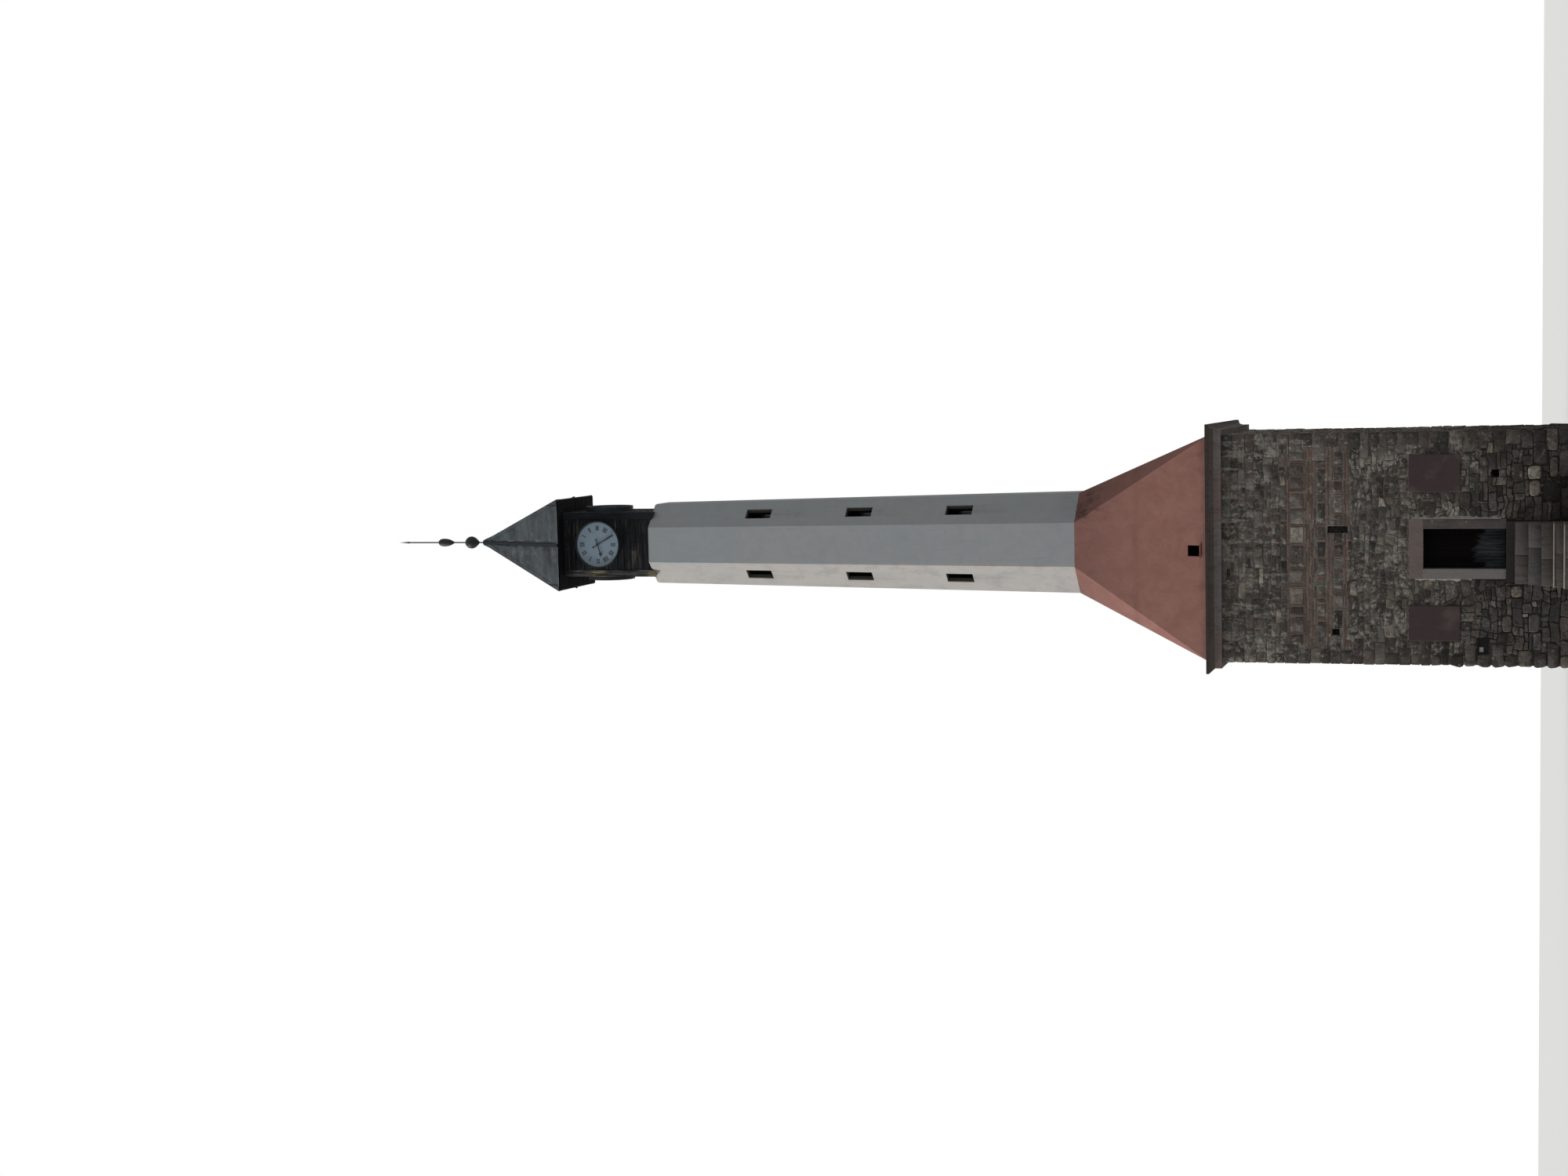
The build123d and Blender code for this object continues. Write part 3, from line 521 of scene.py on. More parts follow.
def red_lime_render(f, c):
    """Render of the pyramid: floated, faintly streaked down the slope and darkened at its head, partly as dirt
    and partly as painted shadow of the shaft; painted near black where it lies deep inside.
    """
    grain, cloud, patch = f.noise(48, 6, 0.72), f.noise(0.7, 5, 0.6, 0.8), f.noise(2.6, 6, 0.64, 0.5)
    run = f.noise(1, 6, 0.66, 0.25, (9, 9, 0.7))
    colour = f.mix((cloud * 0.6 + patch * 0.4).step(0.40, 0.60), c.red, c.red_worn)
    colour = f.shaded(colour, patch * 0.40 + grain * 0.30 + run * 0.30, 0.78, 1.22)
    # Partly painted shadow: darkens the upper pyramid under the shaft, besides dirt
    head = (f.z + (cloud - 0.5) * 2.6 + (run - 0.5) * 0.8).step(8.9, 11.0)
    stain = (run * 0.55 + patch * 0.45).step(0.54, 0.68)
    drip = (run * 0.5 + cloud * 0.5).step(0.52, 0.62) * f.z.step(10.1, 10.85)
    under_corner = f.x.step(0.45, 0.75) * f.y.step(-0.55, -0.85) * (f.z + (run - 0.5) * 1.6).step(10.0, 10.75)
    lift_line = abs(f.z + (patch - 0.5) * 0.35 - PYRAMID_LIFT).step(0.13, 0.02)
    colour = f.coats(
        colour,
        (head * 0.45 + stain * 0.12, c.red_stain_and_shade),
        (drip * 0.45, c.soot),
        (under_corner * (run * 0.5 + patch * 0.5).step(0.40, 0.54) * 0.45, c.soot),
        (lift_line * cloud.step(0.35, 0.60) * 0.38, c.red_stain_and_shade),
        ((f.z + (patch - 0.5) * 0.4).step(7.86, 7.62) * 0.25, c.soot),
        # Painted shade: places deep inside the slopes go near black
        (f.under(PYRAMID).step(0.07, 0.11), c.inside),
    )
    f.done(colour, 0.92, grain * 0.3 + patch + run * 0.3 + cloud * 0.6, 0.022, 0.5, 0.15)


def grey_lime_render(f, c):
    """Render of the shaft: floated, cool and plain, with soft worn patches and faint run-off; painted warm light
    on its left side and painted shade in its window recesses.
    """
    grain = f.noise(60, 6, 0.72)
    cloud = f.noise(0.6, 5, 0.6, 0.8, (1, 1, 0.6))
    marks = f.noise(3.4, 6, 0.66, 0.25, (1, 1, 1.2))
    run = f.noise(1, 6, 0.64, 0.2, (10, 10, 0.5))
    # Painted light: the shaft's left side is mixed towards a warmer, lighter grey, as if sunlit
    side = f.x.step(-0.40, -0.52)
    colour = f.mix((cloud * 0.6 + marks * 0.4).step(0.42, 0.60) * 0.2 + side * 0.8, c.shaft, c.shaft_warm_and_sunlit)
    colour = f.shaded(colour, marks * 0.55 + grain * 0.25 + run * 0.20, 0.86, 1.14)
    smudge = f.noise(2.6, 6, 0.74, 0.12, (1, 1, 0.8)).step(0.47, 0.66)
    drops = run * 0.6 + marks * 0.4
    below = 0.0
    for sill in WINDOW_SILLS:
        below = (f.z.step(sill + 0.01, sill - 0.02) * f.z.step(sill - 1.15, sill - 0.15)).or_more(below)
    beside = abs(abs(f.x) - abs(f.y)).step(0.28, 0.08)
    splashed = (f.z + (run - 0.5) * 1.8).step(SHAFT_LOW.z + 0.9, SHAFT_LOW.z - 0.1) * f.x.step(0.55, 0.80)
    under = f.under(SHAFT)
    colour = f.coats(
        colour,
        ((run * 0.5 + marks * 0.5).step(0.53, 0.66) * 0.30, c.shaft_stain),
        (smudge * (side * 0.22 + 0.10), c.shaft_stain),
        (below * beside * drops.step(0.42, 0.60) * 0.50, c.shaft_stain),
        (splashed * drops.step(0.40, 0.58) * 0.55, c.shaft_stain),
        # Painted shade in the window recesses: their sides darkened, the deep inside near black
        ((under + (grain - 0.5) * 0.02).step(0.015, 0.035) * 0.9, c.reveal),
        (under.step(0.115, 0.15), c.inside),
    )
    f.done(colour, 0.9, grain * 0.25 + marks + cloud * 0.5, 0.012, 0.4, 0.15)


def weathered_timber(f, c, base, worn, wear, along, yellow=None):
    """Old painted wood, bared along the grain; where asked, flakes of yellow paint on its worn corner."""
    pick, light, _ = f.tone()
    fibre = f.noise(1, 6, 0.65, 0.35, along).step(0.25, 0.75)
    fine, patch = f.noise(3.6, 4, 0.6, 0.0, along), f.noise(2.4, 5, 0.62, 0.5)
    bared = fibre * 0.50 + patch * 0.44 + pick * 0.06
    corner = f.x.step(0.2, -0.4) * f.y.step(0.2, -0.4)
    if yellow:
        bared = bared + (corner - 0.4) * 0.22
    bared = bared.step(0.64 - wear * 0.22, 0.78 - wear * 0.16)
    colour = f.shaded(f.mix(bared, base, worn), fine * 0.5 + light * 0.5, 0.55, 1.45)
    if yellow:
        spots = abs(f.z - POST_WORN_AT).step(0.30, 0.10).or_more(f.z.step(POST_WORN_FOOT, POST_WORN_FOOT - 0.17))
        flake = (patch * 0.4 + fibre * 0.45 + spots * 0.15).step(0.46, 0.62) * spots
        colour = f.mix(flake * corner * f.x.step(-0.655, -0.675), colour, yellow)
    checks = fibre.step(0.24, 0.10)
    colour = f.mix(checks * 0.7, colour, c.check)
    f.done(colour, 0.78 + bared * 0.2, fibre * 0.7 + fine * 0.3 - checks * 0.5, 0.008, 0.8, 0.06)


def door_planks(f, c):
    """Dark door planks, bared to grey wood at their feet, with the iron of the pull and the straps; their
    near-black is partly painted shade of the door's recess.
    """
    pick, light, _ = f.tone()
    fibre = f.noise(1, 6, 0.65, 0.3, (42, 42, 1.6))
    patch = f.noise(1, 5, 0.6, 0.4, (13, 13, 2.6))
    bared = (f.z + (pick - 0.5) * 0.26 + (patch - 0.5) * 0.45 + (fibre - 0.5) * 0.35).step(1.90, 1.80)
    streaks = (fibre * 0.7 + patch * 0.3).step(0.40, 0.62)
    colour = f.mix(bared * (streaks * 0.75 + 0.25), c.plank_and_recess_shade, c.plank_worn)
    colour = f.shaded(colour, fibre * 0.6 + light * 0.4, 0.50, 1.50)
    wet = (f.z + (patch - 0.5) * 0.12).step(DOOR_FOOT + 0.05, DOOR_FOOT)
    strap = abs(abs(f.z - STRAP_MIDDLE) - STRAP_APART).step(0.027, 0.0255) * f.y.step(-2.171, -2.1695)
    pull = abs(f.x - PULL_X).step(0.024, 0.0225) * abs(f.z - PULL_Z).step(0.097, 0.0955)
    iron = strap + pull * f.y.step(LEAF_FACE - 0.0005, LEAF_FACE - 0.0015)
    colour = f.coats(colour, (wet * 0.6, c.plank_wet), (iron, c.iron))
    f.done(colour, 0.75 + bared * 0.2, fibre, 0.004, 0.7, 0.03, iron * 0.7)


def roof_metal(f, c, base, dull, bright, wear=0.3, metallic=0.12, rough=0.55, folds=None):
    """Weathered sheet: clouded patina, washed streaks, rubbed here and there, and dark along its folds; where
    folds are given, also painted shadow beside the seam and painted light and shade of slack waves.
    """
    grain, cloud = f.noise(40, 5, 0.7), f.noise(1.7, 5, 0.6, 0.5)
    run = f.noise(1, 6, 0.62, 0.3, (7, 7, 1.6))
    colour = f.mix((cloud * 0.6 + run * 0.4).step(0.38, 0.62), base, dull)
    colour = f.shaded(colour, grain * 0.3 + run * 0.4 + cloud * 0.3, 0.76, 1.26)
    rubbed = (run * 0.6 + cloud * 0.4 + (grain - 0.5) * 0.2).step(0.52, 0.66)
    colour = f.mix(rubbed * wear, colour, bright)
    if folds:
        # Painted light and shade: bands across the slope lighten and darken the sheet as dents would under light
        slack = f.noise(1, 3, 0.5, 0.9, (0.9, 0.9, 4.6)).step(0.34, 0.66)
        # Dark seam and corner lines, with painted shadow on the sheet's edge beside the seam
        across = abs(f.x).or_less(abs(f.y))
        fold = across.step(0.044, 0.038).or_more(abs(across - ROOF_CORNER_LINE).step(0.022, 0.013))
        colour = f.mix(fold, f.shaded(colour, slack, 0.76, 1.24), folds)
    roughness = rough + (cloud - 0.5) * 0.25 + (grain - 0.5) * 0.1
    f.done(colour, roughness, cloud + grain * 0.12, 0.006, 0.4, 0.2, metallic)


def flat_paint(f, c, base, dirt, rough=0.5, metallic=0.0, mottle=0.25):
    """Old paint on metal: faint clouds, small pits and dust."""
    grain, cloud = f.noise(90, 5, 0.7), f.noise(4.5, 5, 0.6, 0.4)
    run = f.noise(1, 5, 0.6, 0.2, (14, 14, 2.2))
    colour = f.shaded(base, cloud * 0.5 + grain * 0.5, 1 - mottle * 0.5, 1 + mottle * 0.5)
    colour = f.mix((run + (grain - 0.5) * 0.3).step(0.52, 0.80) * mottle, colour, dirt)
    f.done(colour, rough + (cloud - 0.5) * 0.2, grain * 0.4 + cloud, 0.0015, 0.35, 0.15, metallic)


def plain_floor(f, c):
    """The floor, very faintly clouded."""
    floor = bpy.context.scene.tower_stage.floor
    f.done(f.shaded(floor, f.noise(0.3, 3, 0.5), 0.98, 1.02), 0.9)


# Each finish: its maker, then the maker's values, where a word is one of the tower's colours
UPRIGHT, ACROSS = (26, 26, 1.1), (1.1, 26, 26)
FINISHES = {
    "laid_stone": (laid_stone,),
    "lime_mortar": (lime_mortar,),
    "fresh_pointing": (lime_mortar, 1.0),
    "fired_brick": (fired_brick,),
    "door_frame_stone": (frame_stone,),
    "worn_step_stone": (dressed_stone, "step", "step_warm", "lime"),
    # Painted shade: the threshold and the floor inside the door are darkened for the doorway's shade
    "threshold_stone": (dressed_stone, "mortar_deep", "step"),
    "cornice_block_stone": (dressed_stone, "cornice", "cornice_warm"),
    "cornice_mould_stone": (dressed_stone, "mould", "mould_warm"),
    "capping_stone": (dressed_stone, "capping", "plum"),
    "bare_plaque": (bare_plaque,),
    "red_lime_render": (red_lime_render,),
    "grey_lime_render": (grey_lime_render,),
    "post_timber": (weathered_timber, "post", "post_worn", 0.62, UPRIGHT, "post_yellow"),
    "beam_timber": (weathered_timber, "post", "board_brown", 0.3, UPRIGHT),
    "board_across": (weathered_timber, "board", "board_brown", 0.45, ACROSS),
    # The soffit colour here is painted shade under the eaves
    "board_back": (weathered_timber, "soffit", "board", 0.2, UPRIGHT),
    "soffit_board": (weathered_timber, "soffit", "board", 0.25, ACROSS),
    "door_planks": (door_planks,),
    "dull_roof_sheet": (roof_metal, "sheet", "sheet_dull", "sheet_bright", 0.3, 0.12, 0.55, "strip"),
    "eave_fold": (roof_metal, "sheet_bright", "sheet", "label", 0.4, 0.5, 0.4),
    "finial_patina": (roof_metal, "finial", "strip", "sheet", 0.5),
    "iron": (flat_paint, "iron", "brick", 0.6, 0.6, 0.4),
    "case_paint": (flat_paint, "case", "finial"),
    "dial_paint": (flat_paint, "enamel", "case", 0.4, 0.0, 0.16),
    "numeral_paint": (flat_paint, "numeral", "enamel"),
    "hour_paint": (flat_paint, "hour", "case"),
    "minute_paint": (flat_paint, "minute", "iron"),
    "bare_label": (flat_paint, "label", "case", 0.4),
    "plain_floor": (plain_floor,),
}

# Which of the packed solids take which finish; of two that fit a name, the later one counts
NODE_FINISHES = {
    "*_wall*": "lime_mortar",
    "cornice_*": "lime_mortar",
    "cornice_cap": "capping_stone",
    "ground_floor": "threshold_stone",
    "step_*": "worn_step_stone",
    "door_*": "door_frame_stone",
    "door_threshold": "threshold_stone",
    "door_leaf": "door_planks",
    "door_pintles": "iron",
    "plaques": "bare_plaque",
    "hatch_sill": "red_lime_render",
    "pyramid_*": "red_lime_render",
    "shaft_*": "grey_lime_render",
    "cabin_*": "beam_timber",
    "cabin_boarding": "board_back",
    "cabin_posts": "post_timber",
    "dial_cases": "case_paint",
    "dial_faces": "dial_paint",
    "hour_hand_*": "hour_paint",
    "minute_hand_*": "minute_paint",
    "roof_*": "dull_roof_sheet",
    "roof_soffit": "board_back",
    "finial": "finial_patina",
}


def finish(name):
    """A finish by its name, made the first time that it is asked for."""
    if name not in bpy.data.materials:
        colours = bpy.context.scene.tower_colours
        maker, *values = FINISHES[name]
        maker(Finish(name), colours, *(getattr(colours, v) if isinstance(v, str) else v for v in values))
    return bpy.data.materials[name]


# Making meshes


class Skin:
    """A mesh in the making, whose points may hold the tone of their stone, board or block."""

    def __init__(self, toned=True):
        self.bm = bmesh.new()
        self.tones = self.bm.verts.layers.float_color.new("tone") if toned else None

    def ring(self, places, tone=None):
        """New points in a row."""
        points = [self.bm.verts.new(place) for place in places]
        if self.tones is not None:
            for point in points:
                point[self.tones] = tone
        return points

    def tube(self, rings, cap=True):
        """Skins a row of rings of points, and closes both ends."""
        for low, high in zip(rings, rings[1:]):
            for square in zip(low, after(low), after(high), high):
                self.bm.faces.new(square)
        self.bm.faces.new(rings[0][::-1])
        if cap:
            self.bm.faces.new(rings[-1])

    def prism(self, outline, place, low, high):
        """A flat outline given thickness, put in place by place(a, b, out)."""
        self.tube([self.ring([place(a, b, out) for a, b in outline]) for out in (low, high)])

    def block(self, low, high, radius, tone, lump=0.0):
        """A block between two corners, its edges rounded by wear and its faces a little uneven."""
        low, high = Vector(map(min, low, high)), Vector(map(max, low, high))
        centre, half = (low + high) / 2, (high - low) / 2
        radius = min(radius, *(h * 0.9 for h in half))
        core = half - Vector((radius,) * 3)
        stops = [(-h, -c, 0.0, c, h) for h, c in zip(half, core)]
        places = []
        for key in BLOCK_KEYS:
            place = Vector([stops[axis][k] for axis, k in enumerate(key)])
            inner = Vector([max(-c, min(c, p)) for p, c in zip(place, core)])
            if (place - inner).length > 1e-9:
                place = inner + (place - inner).normalized() * radius
            place += centre
            if lump:
                bumps = [noise.noise(place * 5.3 + Vector((0, 0, 31 * k))) for k in range(3)]
                place += Vector(bumps) * lump
                place.z = max(place.z, 0.0)
            places.append(place)
        points = self.ring(places, tone)
        for square in BLOCK_SQUARES:
            self.bm.faces.new([points[k] for k in square])

    def piece(self, name, finish_name, body="tower", slot=None, smooth=True):
        """Turns the mesh into a piece that rides on a body."""
        mesh = bpy.data.meshes.new(name)
        self.bm.normal_update()
        self.bm.to_mesh(mesh)
        self.bm.free()
        mesh.materials.append(finish(finish_name))
        mesh.polygons.foreach_set("use_smooth", [smooth] * len(mesh.polygons))
        if smooth:
            mesh.set_sharp_from_angle(angle=math.radians(38))
        piece = bpy.data.objects.new(name, mesh)
        bpy.context.scene.collection.objects.link(piece)
        if body:
            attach(piece, body)
        return piece


def after(ring):
    """The same ring, a point further round."""
    return ring[1:] + ring[:1]


def block_grid(stops):
    """Corner numbers and square faces of a cube's skin, with so many stops along each edge."""
    numbers, squares = {}, []
    last = stops - 1
    for axis in range(3):
        for end in (0, last):
            for i in range(last):
                for j in range(last):
                    square = []
                    for a, b in ((i, j), (i + 1, j), (i + 1, j + 1), (i, j + 1)):
                        key = [0, 0, 0]
                        key[axis], key[(axis + 1) % 3], key[(axis + 2) % 3] = end, a, b
                        square.append(numbers.setdefault(tuple(key), len(numbers)))
                    squares.append(square if end else square[::-1])
    return list(numbers), squares


BLOCK_KEYS, BLOCK_SQUARES = block_grid(5)


def corners_of(left, right, low, high):
    """The four corners of an upright rectangle, in order."""
    return [(left, low), (right, low), (right, high), (left, high)]


def on_face(face, u, z, out):
    """A point of a face of the foot: u to the right seen from outside, out from the wall."""
    across, away = FACES[face]
    return across * u + away * (FOOT_HALF + out) + Vector((0, 0, z))


def on_front(u, z, out):
    """The same on the face with the door."""
    return on_face("front", u, z, out)


def broken_outline(points, gap, bite, rng):
    """An outline drawn in by half a joint, its corners broken off; points are (place, whether a corner)."""
    outline = []
    for i, (place, is_corner) in enumerate(points):
        before, later = points[i - 1][0], points[(i + 1) % len(points)][0]
        back, ahead, across = before - place, later - place, later - before
        inward = Vector((-across.y, across.x)).normalized()
        if is_corner:
            cut = min(bite * rng.uniform(0.4, 1.6), 0.4 * back.length, 0.4 * ahead.length)
            corner = place + inward * gap * 1.4
            outline += [corner + back.normalized() * cut, corner + ahead.normalized() * cut]
        else:
            outline.append(place + inward * (gap + rng.uniform(-0.002, 0.004)))
    return outline


def lay_field_stone(skin, face, outline, proud, tone, rng, shoulder=0.012):
    """One stone in a wall: foot in the mortar, broken arris and a flat, slightly tilted face."""
    centre = sum(outline, Vector((0, 0))) / len(outline)
    tilt_u, tilt_z = rng.uniform(-0.07, 0.07), rng.uniform(-0.07, 0.07)
    inset = min(shoulder, 0.25 * min((point - centre).length for point in outline))
    rings = []
    for inward, out in ((0.0, -0.012), (0.0, proud * 0.45), (inset, proud)):
        places = []
        for point in outline:
            away = point - centre
            place, lift = point - away.normalized() * inward, out
            if out > 0:
                lift = max(0.002, out + away.x * tilt_u + away.y * tilt_z + rng.uniform(-0.0015, 0.0015))
            places.append(on_face(face, place.x, max(place.y, 0.0), lift))
        rings.append(skin.ring(places, tone))
    skin.tube(rings, cap=False)
    (top,) = skin.ring([on_face(face, centre.x, centre.y, max(proud, 0.004) + 0.1 * inset)], tone)
    for a, b in zip(rings[-1], after(rings[-1])):
        skin.bm.faces.new((a, b, top))


def random_tone(rng):
    """Colour pick and lightness of a brick or a board."""
    return (rng.uniform(0.0, 1.0), rng.random(), 0.0, 1.0)


# Laying the walls

# From the ground up; the bands stand where a zone has no heights
ZONES = (
    Zone(0.40, (0.20, 0.30), (0.28, 0.62), 0.040, (0.020, 0.045), 0.00, 0.045),
    Zone(1.30, (0.12, 0.25), (0.18, 0.46), 0.024, (0.014, 0.034), 0.15, 0.060),
    Zone(2.25, (0.09, 0.20), (0.14, 0.38), 0.020, (0.012, 0.028), 0.30, 0.060),
    Zone(3.60, (0.10, 0.22), (0.13, 0.36), 0.020, (0.006, 0.022), 0.60, 0.060),
    Zone(BANDS_FOOT, (0.10, 0.20), (0.14, 0.36), 0.020, (0.005, 0.018), 0.75, 0.050),
    Zone(BANDS_HEAD, None, None, 0.010, (0.006, 0.014), 0.50, 0.0),
    Zone(6.60, (0.14, 0.22), (0.18, 0.42), 0.018, (0.005, 0.016), 0.85, 0.022),
    Zone(FOOT_TOP, (0.15, 0.20), (0.20, 0.44), 0.014, (0.005, 0.014), 0.95, 0.014),
)
# Rows of lying bricks, or none for a row of framed stones, and the height they take
BANDS = ((2, 0.116), (0, 0.216), (2, 0.149), (0, 0.202), (3, 0.215), (0, 0.370), (1, 0.060))
OVERLAP = 0.012  # how far a course and a patch may overlap before the course gives way
BOULDERS = (
    Boulder(1.115, 1.46, 0.61, 0.84, 0.88, 0.9, 0.060),
    Boulder(1.475, 1.765, 0.585, 0.87, 0.93, 1.0, 0.065),
    Boulder(0.99, 1.43, 0.21, 0.56, 0.06, 0.3, 0.050),
    Boulder(1.51, 2.10, 0.02, 0.250, 0.44, 0.5, 0.055),
    Boulder(1.51, 1.95, 0.26, 0.430, 0.72, 0.9, 0.050),
    Boulder(1.77, 2.22, 0.46, 0.760, 0.20, 0.2, 0.040),
    Boulder(-1.78, -1.38, 0.62, 0.850, 0.55, 0.7, 0.050),
    Boulder(-1.78, -1.42, 1.18, 1.380, 0.60, 0.8, 0.045),
    Boulder(-1.04, -0.78, 0.98, 1.200, 0.90, 0.8, 0.040),
)


def standing_patches(face):
    """Parts of a face where no common stone is laid: door frame, stair, plaques, holes and boulders."""
    if face != "front":
        return []
    patches = [Patch(b.left, b.right, b.low, b.high) for b in BOULDERS]
    for node in ("door_jambs", "door_lintel", "door_threshold", *(f"step_{k}" for k in range(1, 6))):
        low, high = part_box(node)
        patches.append(Patch(low.x - 0.006, high.x + 0.006, low.z, high.z + 0.004))
    low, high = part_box("plaques")
    for left, right in ((low.x, PLAQUE_LEFT_END), (PLAQUE_RIGHT_START, high.x)):
        patches.append(Patch(left - 0.012, right + 0.012, low.z - 0.012, high.z + 0.012))
    return patches + [SLIT, *PUTLOG_HOLES, WALL_BOX]


def gap_to(patches, u, z):
    """Distance from a point to the nearest patch."""
    gaps = (math.hypot(max(p.left - u, 0, u - p.right), max(p.low - z, 0, z - p.high)) for p in patches)
    return min(gaps, default=9.0)


def free_spans(start, end, low, high, patches):
    """Stretches of a course between the patches that stand in it."""
    spans, here = [], start
    standing = (p for p in patches if p.low < high - OVERLAP and p.high > low + OVERLAP)
    for left, right in sorted((p.left, p.right) for p in standing):
        if left > here:
            spans.append((here, min(left, end)))
        here = max(here, right)
    if here < end:
        spans.append((here, end))
    return [(a, b) for a, b in spans if b - a > 0.045]


class WallLayer:
    """Lays the stones and bricks of one face of the foot."""

    def __init__(self, face, sizes, rng, patches):
        self.face, self.sizes, self.rng, self.patches = face, sizes, rng, patches
        self.stones, self.bricks = Skin(), Skin()
        self.shift = rng.uniform(0, 40)

    def spans(self, low, high):
        """The free stretches of a course over the whole face."""
        return free_spans(-FOOT_HALF, FOOT_HALF, low, high, self.patches)

    def moved(self, place, wobble):
        """A point of a joint after the courses have wandered, less so beside what stands in the wall."""
        u, z = place
        near = min(gap_to(self.patches, u, z), FOOT_HALF - abs(u))
        slack = wobble * max(0.0, min(1.0, near / 0.20))
        slow = Vector((u * 1.35 + self.shift, z * 1.9, 0.7))
        quick = Vector((u * 5.3 + self.shift, z * 6.1, 4.2))
        other = Vector((9, 5, 3))
        aside = noise.noise(slow) * 1.2 + noise.noise(quick) * 0.8
        up = noise.noise(slow + other) * 1.6 + noise.noise(quick + other) * 1.1
        return Vector((u + aside * slack, z + up * slack * min(1.0, z / 0.25)))

    def stone(self, left, right, low, high, zone, joint=None):
        """Lays one stone between two upright joints, each given at its foot and its head."""
        rng = self.rng
        gap = (joint or self.sizes.joint) / 2
        if min(right[0] - left[0], right[1] - left[1], high - low) < 3 * gap:
            return
        quad = [Vector(p) for p in ((left[0], low), (right[0], low), (right[1], high), (left[1], high))]
        points = []
        for here, there in zip(quad, after(quad)):
            points.append((self.moved(here, zone.wobble), True))
            for t in (0.5,) if (there - here).length < 0.15 else (0.33, 0.67):
                points.append((self.moved(here.lerp(there, t), zone.wobble), False))
        tone = self.stone_tone(*quad[0], zone)
        outline = broken_outline(points, gap * rng.uniform(0.7, 1.4), zone.corner, rng)
        lay_field_stone(self.stones, self.face, outline, rng.uniform(*zone.proud), tone, rng)

    def stone_tone(self, u, z, zone):
        """A stone's colour: mostly the darker ones, more of the sandy ones beside the stair's left."""
        rng = self.rng
        pick = rng.betavariate(2.0, 2.6)
        if self.face == "front" and -2.0 < u < -0.55 and 0.4 < z < 2.4:
            pick += 0.10 * rng.random()
        return (min(pick, 0.97), rng.random(), zone.lime * rng.uniform(0.4, 1.25), 1.0)

    def course(self, start, end, low, high, zone):
        """One course of rubble between two points, its upright joints leaning either way."""
        rng = self.rng
        narrow, wide = zone.widths
        height = high - low
        lean = height * (0.30 if zone.wobble > 0.03 else 0.04)
        joints = [(start, start)]
        while joints[-1] != (end, end):
            here = max(joints[-1]) + rng.uniform(narrow, wide) * (0.72 + 0.28 * height / zone.heights[1])
            if end - here < narrow * 0.7:
                joints.append((end, end))
            else:
                tilt = rng.uniform(-lean, lean) / 2
                joints.append((here + tilt, here - tilt))
        for left, right in zip(joints, joints[1:]):
            if height < 0.135 or rng.random() > 0.30:
                self.stone(left, right, low, high, zone)
                continue
            share = rng.uniform(0.38, 0.62)
            split = low + height * share
            start, end = (a + (b - a) * share for a, b in (left, right))
            self.stone((left[0], start), (right[0], end), low, split, zone)
            if end - start > 0.26 and rng.random() < 0.5:
                part = start + (end - start) * rng.uniform(0.4, 0.6)
                self.stone((start, left[1]), (part, part), split, high, zone)
                start, left = part, (part, part)
            self.stone((start, left[1]), (end, right[1]), split, high, zone)

    def edge_fill(self, low, high, zone):
        """Small stones above and below patches that end inside a course."""
        small = zone._replace(widths=(0.10, 0.24))
        for p in self.patches:
            left, right = max(p.left, -FOOT_HALF), min(p.right, FOOT_HALF)
            for edge, a, b in ((p.high, p.high, high), (p.low, low, p.low)):
                if not low + OVERLAP < edge < high - OVERLAP or b - a < 0.05:
                    continue
                for start, end in free_spans(left, right, a, b, [q for q in self.patches if q is not p]):
                    self.course(start, end, a, b, small)

    def rubble(self, low, top, zone):
        """A zone of wandering courses."""
        while low < top - 0.02:
            high = low + self.rng.uniform(*zone.heights)
            if top - high < zone.heights[0] * 0.7:
                high = top
            for start, end in self.spans(low, high):
                self.course(start, end, low, high, zone)
            self.edge_fill(low, high, zone)
            low = high

    def brick(self, left, right, low, high):
        """One brick, lying or standing."""
        rng = self.rng
        points = []
        for u, z in corners_of(left, right, low, high):
            skew = Vector((rng.uniform(-0.004, 0.004), rng.uniform(-0.004, 0.004)))
            points.append((Vector((u, z)) + skew, True))
        out = self.sizes.brick_proud * rng.uniform(0.4, 1.3)
        outline = broken_outline(points, 0.001, 0.007, rng)
        lay_field_stone(self.bricks, self.face, outline, out, random_tone(rng), rng, 0.004)

    def brick_rows(self, rows, low, high):
        """Lying bricks in so many rows, spaced evenly."""
        sizes, rng = self.sizes, self.rng
        pitch = (high - low) / rows
        for row in range(rows):
            middle = low + pitch * (row + 0.5)
            foot, head = middle - sizes.brick_height / 2, middle + sizes.brick_height / 2
            for start, end in self.spans(foot, head):
                here = start + rng.uniform(0.0, 0.02)
                while here < end - 0.05:
                    width = min(sizes.brick_length * rng.uniform(0.55, 1.1), end - here - 0.006)
                    if rng.random() > 0.07:
                        self.brick(here, here + width, foot, head)
                    here += width + 0.014

    def framed_row(self, low, high, zone):
        """Squared stones with one or two bricks standing between them, the tall ones over a lying brick."""
        rng = self.rng
        for here, end in self.spans(low, high):
            while here < end - 0.05:
                width = min(rng.uniform(0.17, 0.46), end - here)
                foot, head = low + rng.uniform(0.004, 0.018), high - rng.uniform(0.004, 0.018)
                if head - foot > 0.27:
                    self.brick(here + 0.01, here + width - 0.01, foot, foot + 0.040)
                    foot += 0.052
                self.stone((here, here), (here + width,) * 2, foot, head, zone, joint=0.020)
                here += width
                for _ in range(rng.choice((1, 1, 2))):
                    if here + 0.06 < end:
                        left = here + 0.008
                        self.brick(left, left + rng.uniform(0.030, 0.042), low + 0.012, high - 0.012)
                        here += 0.056

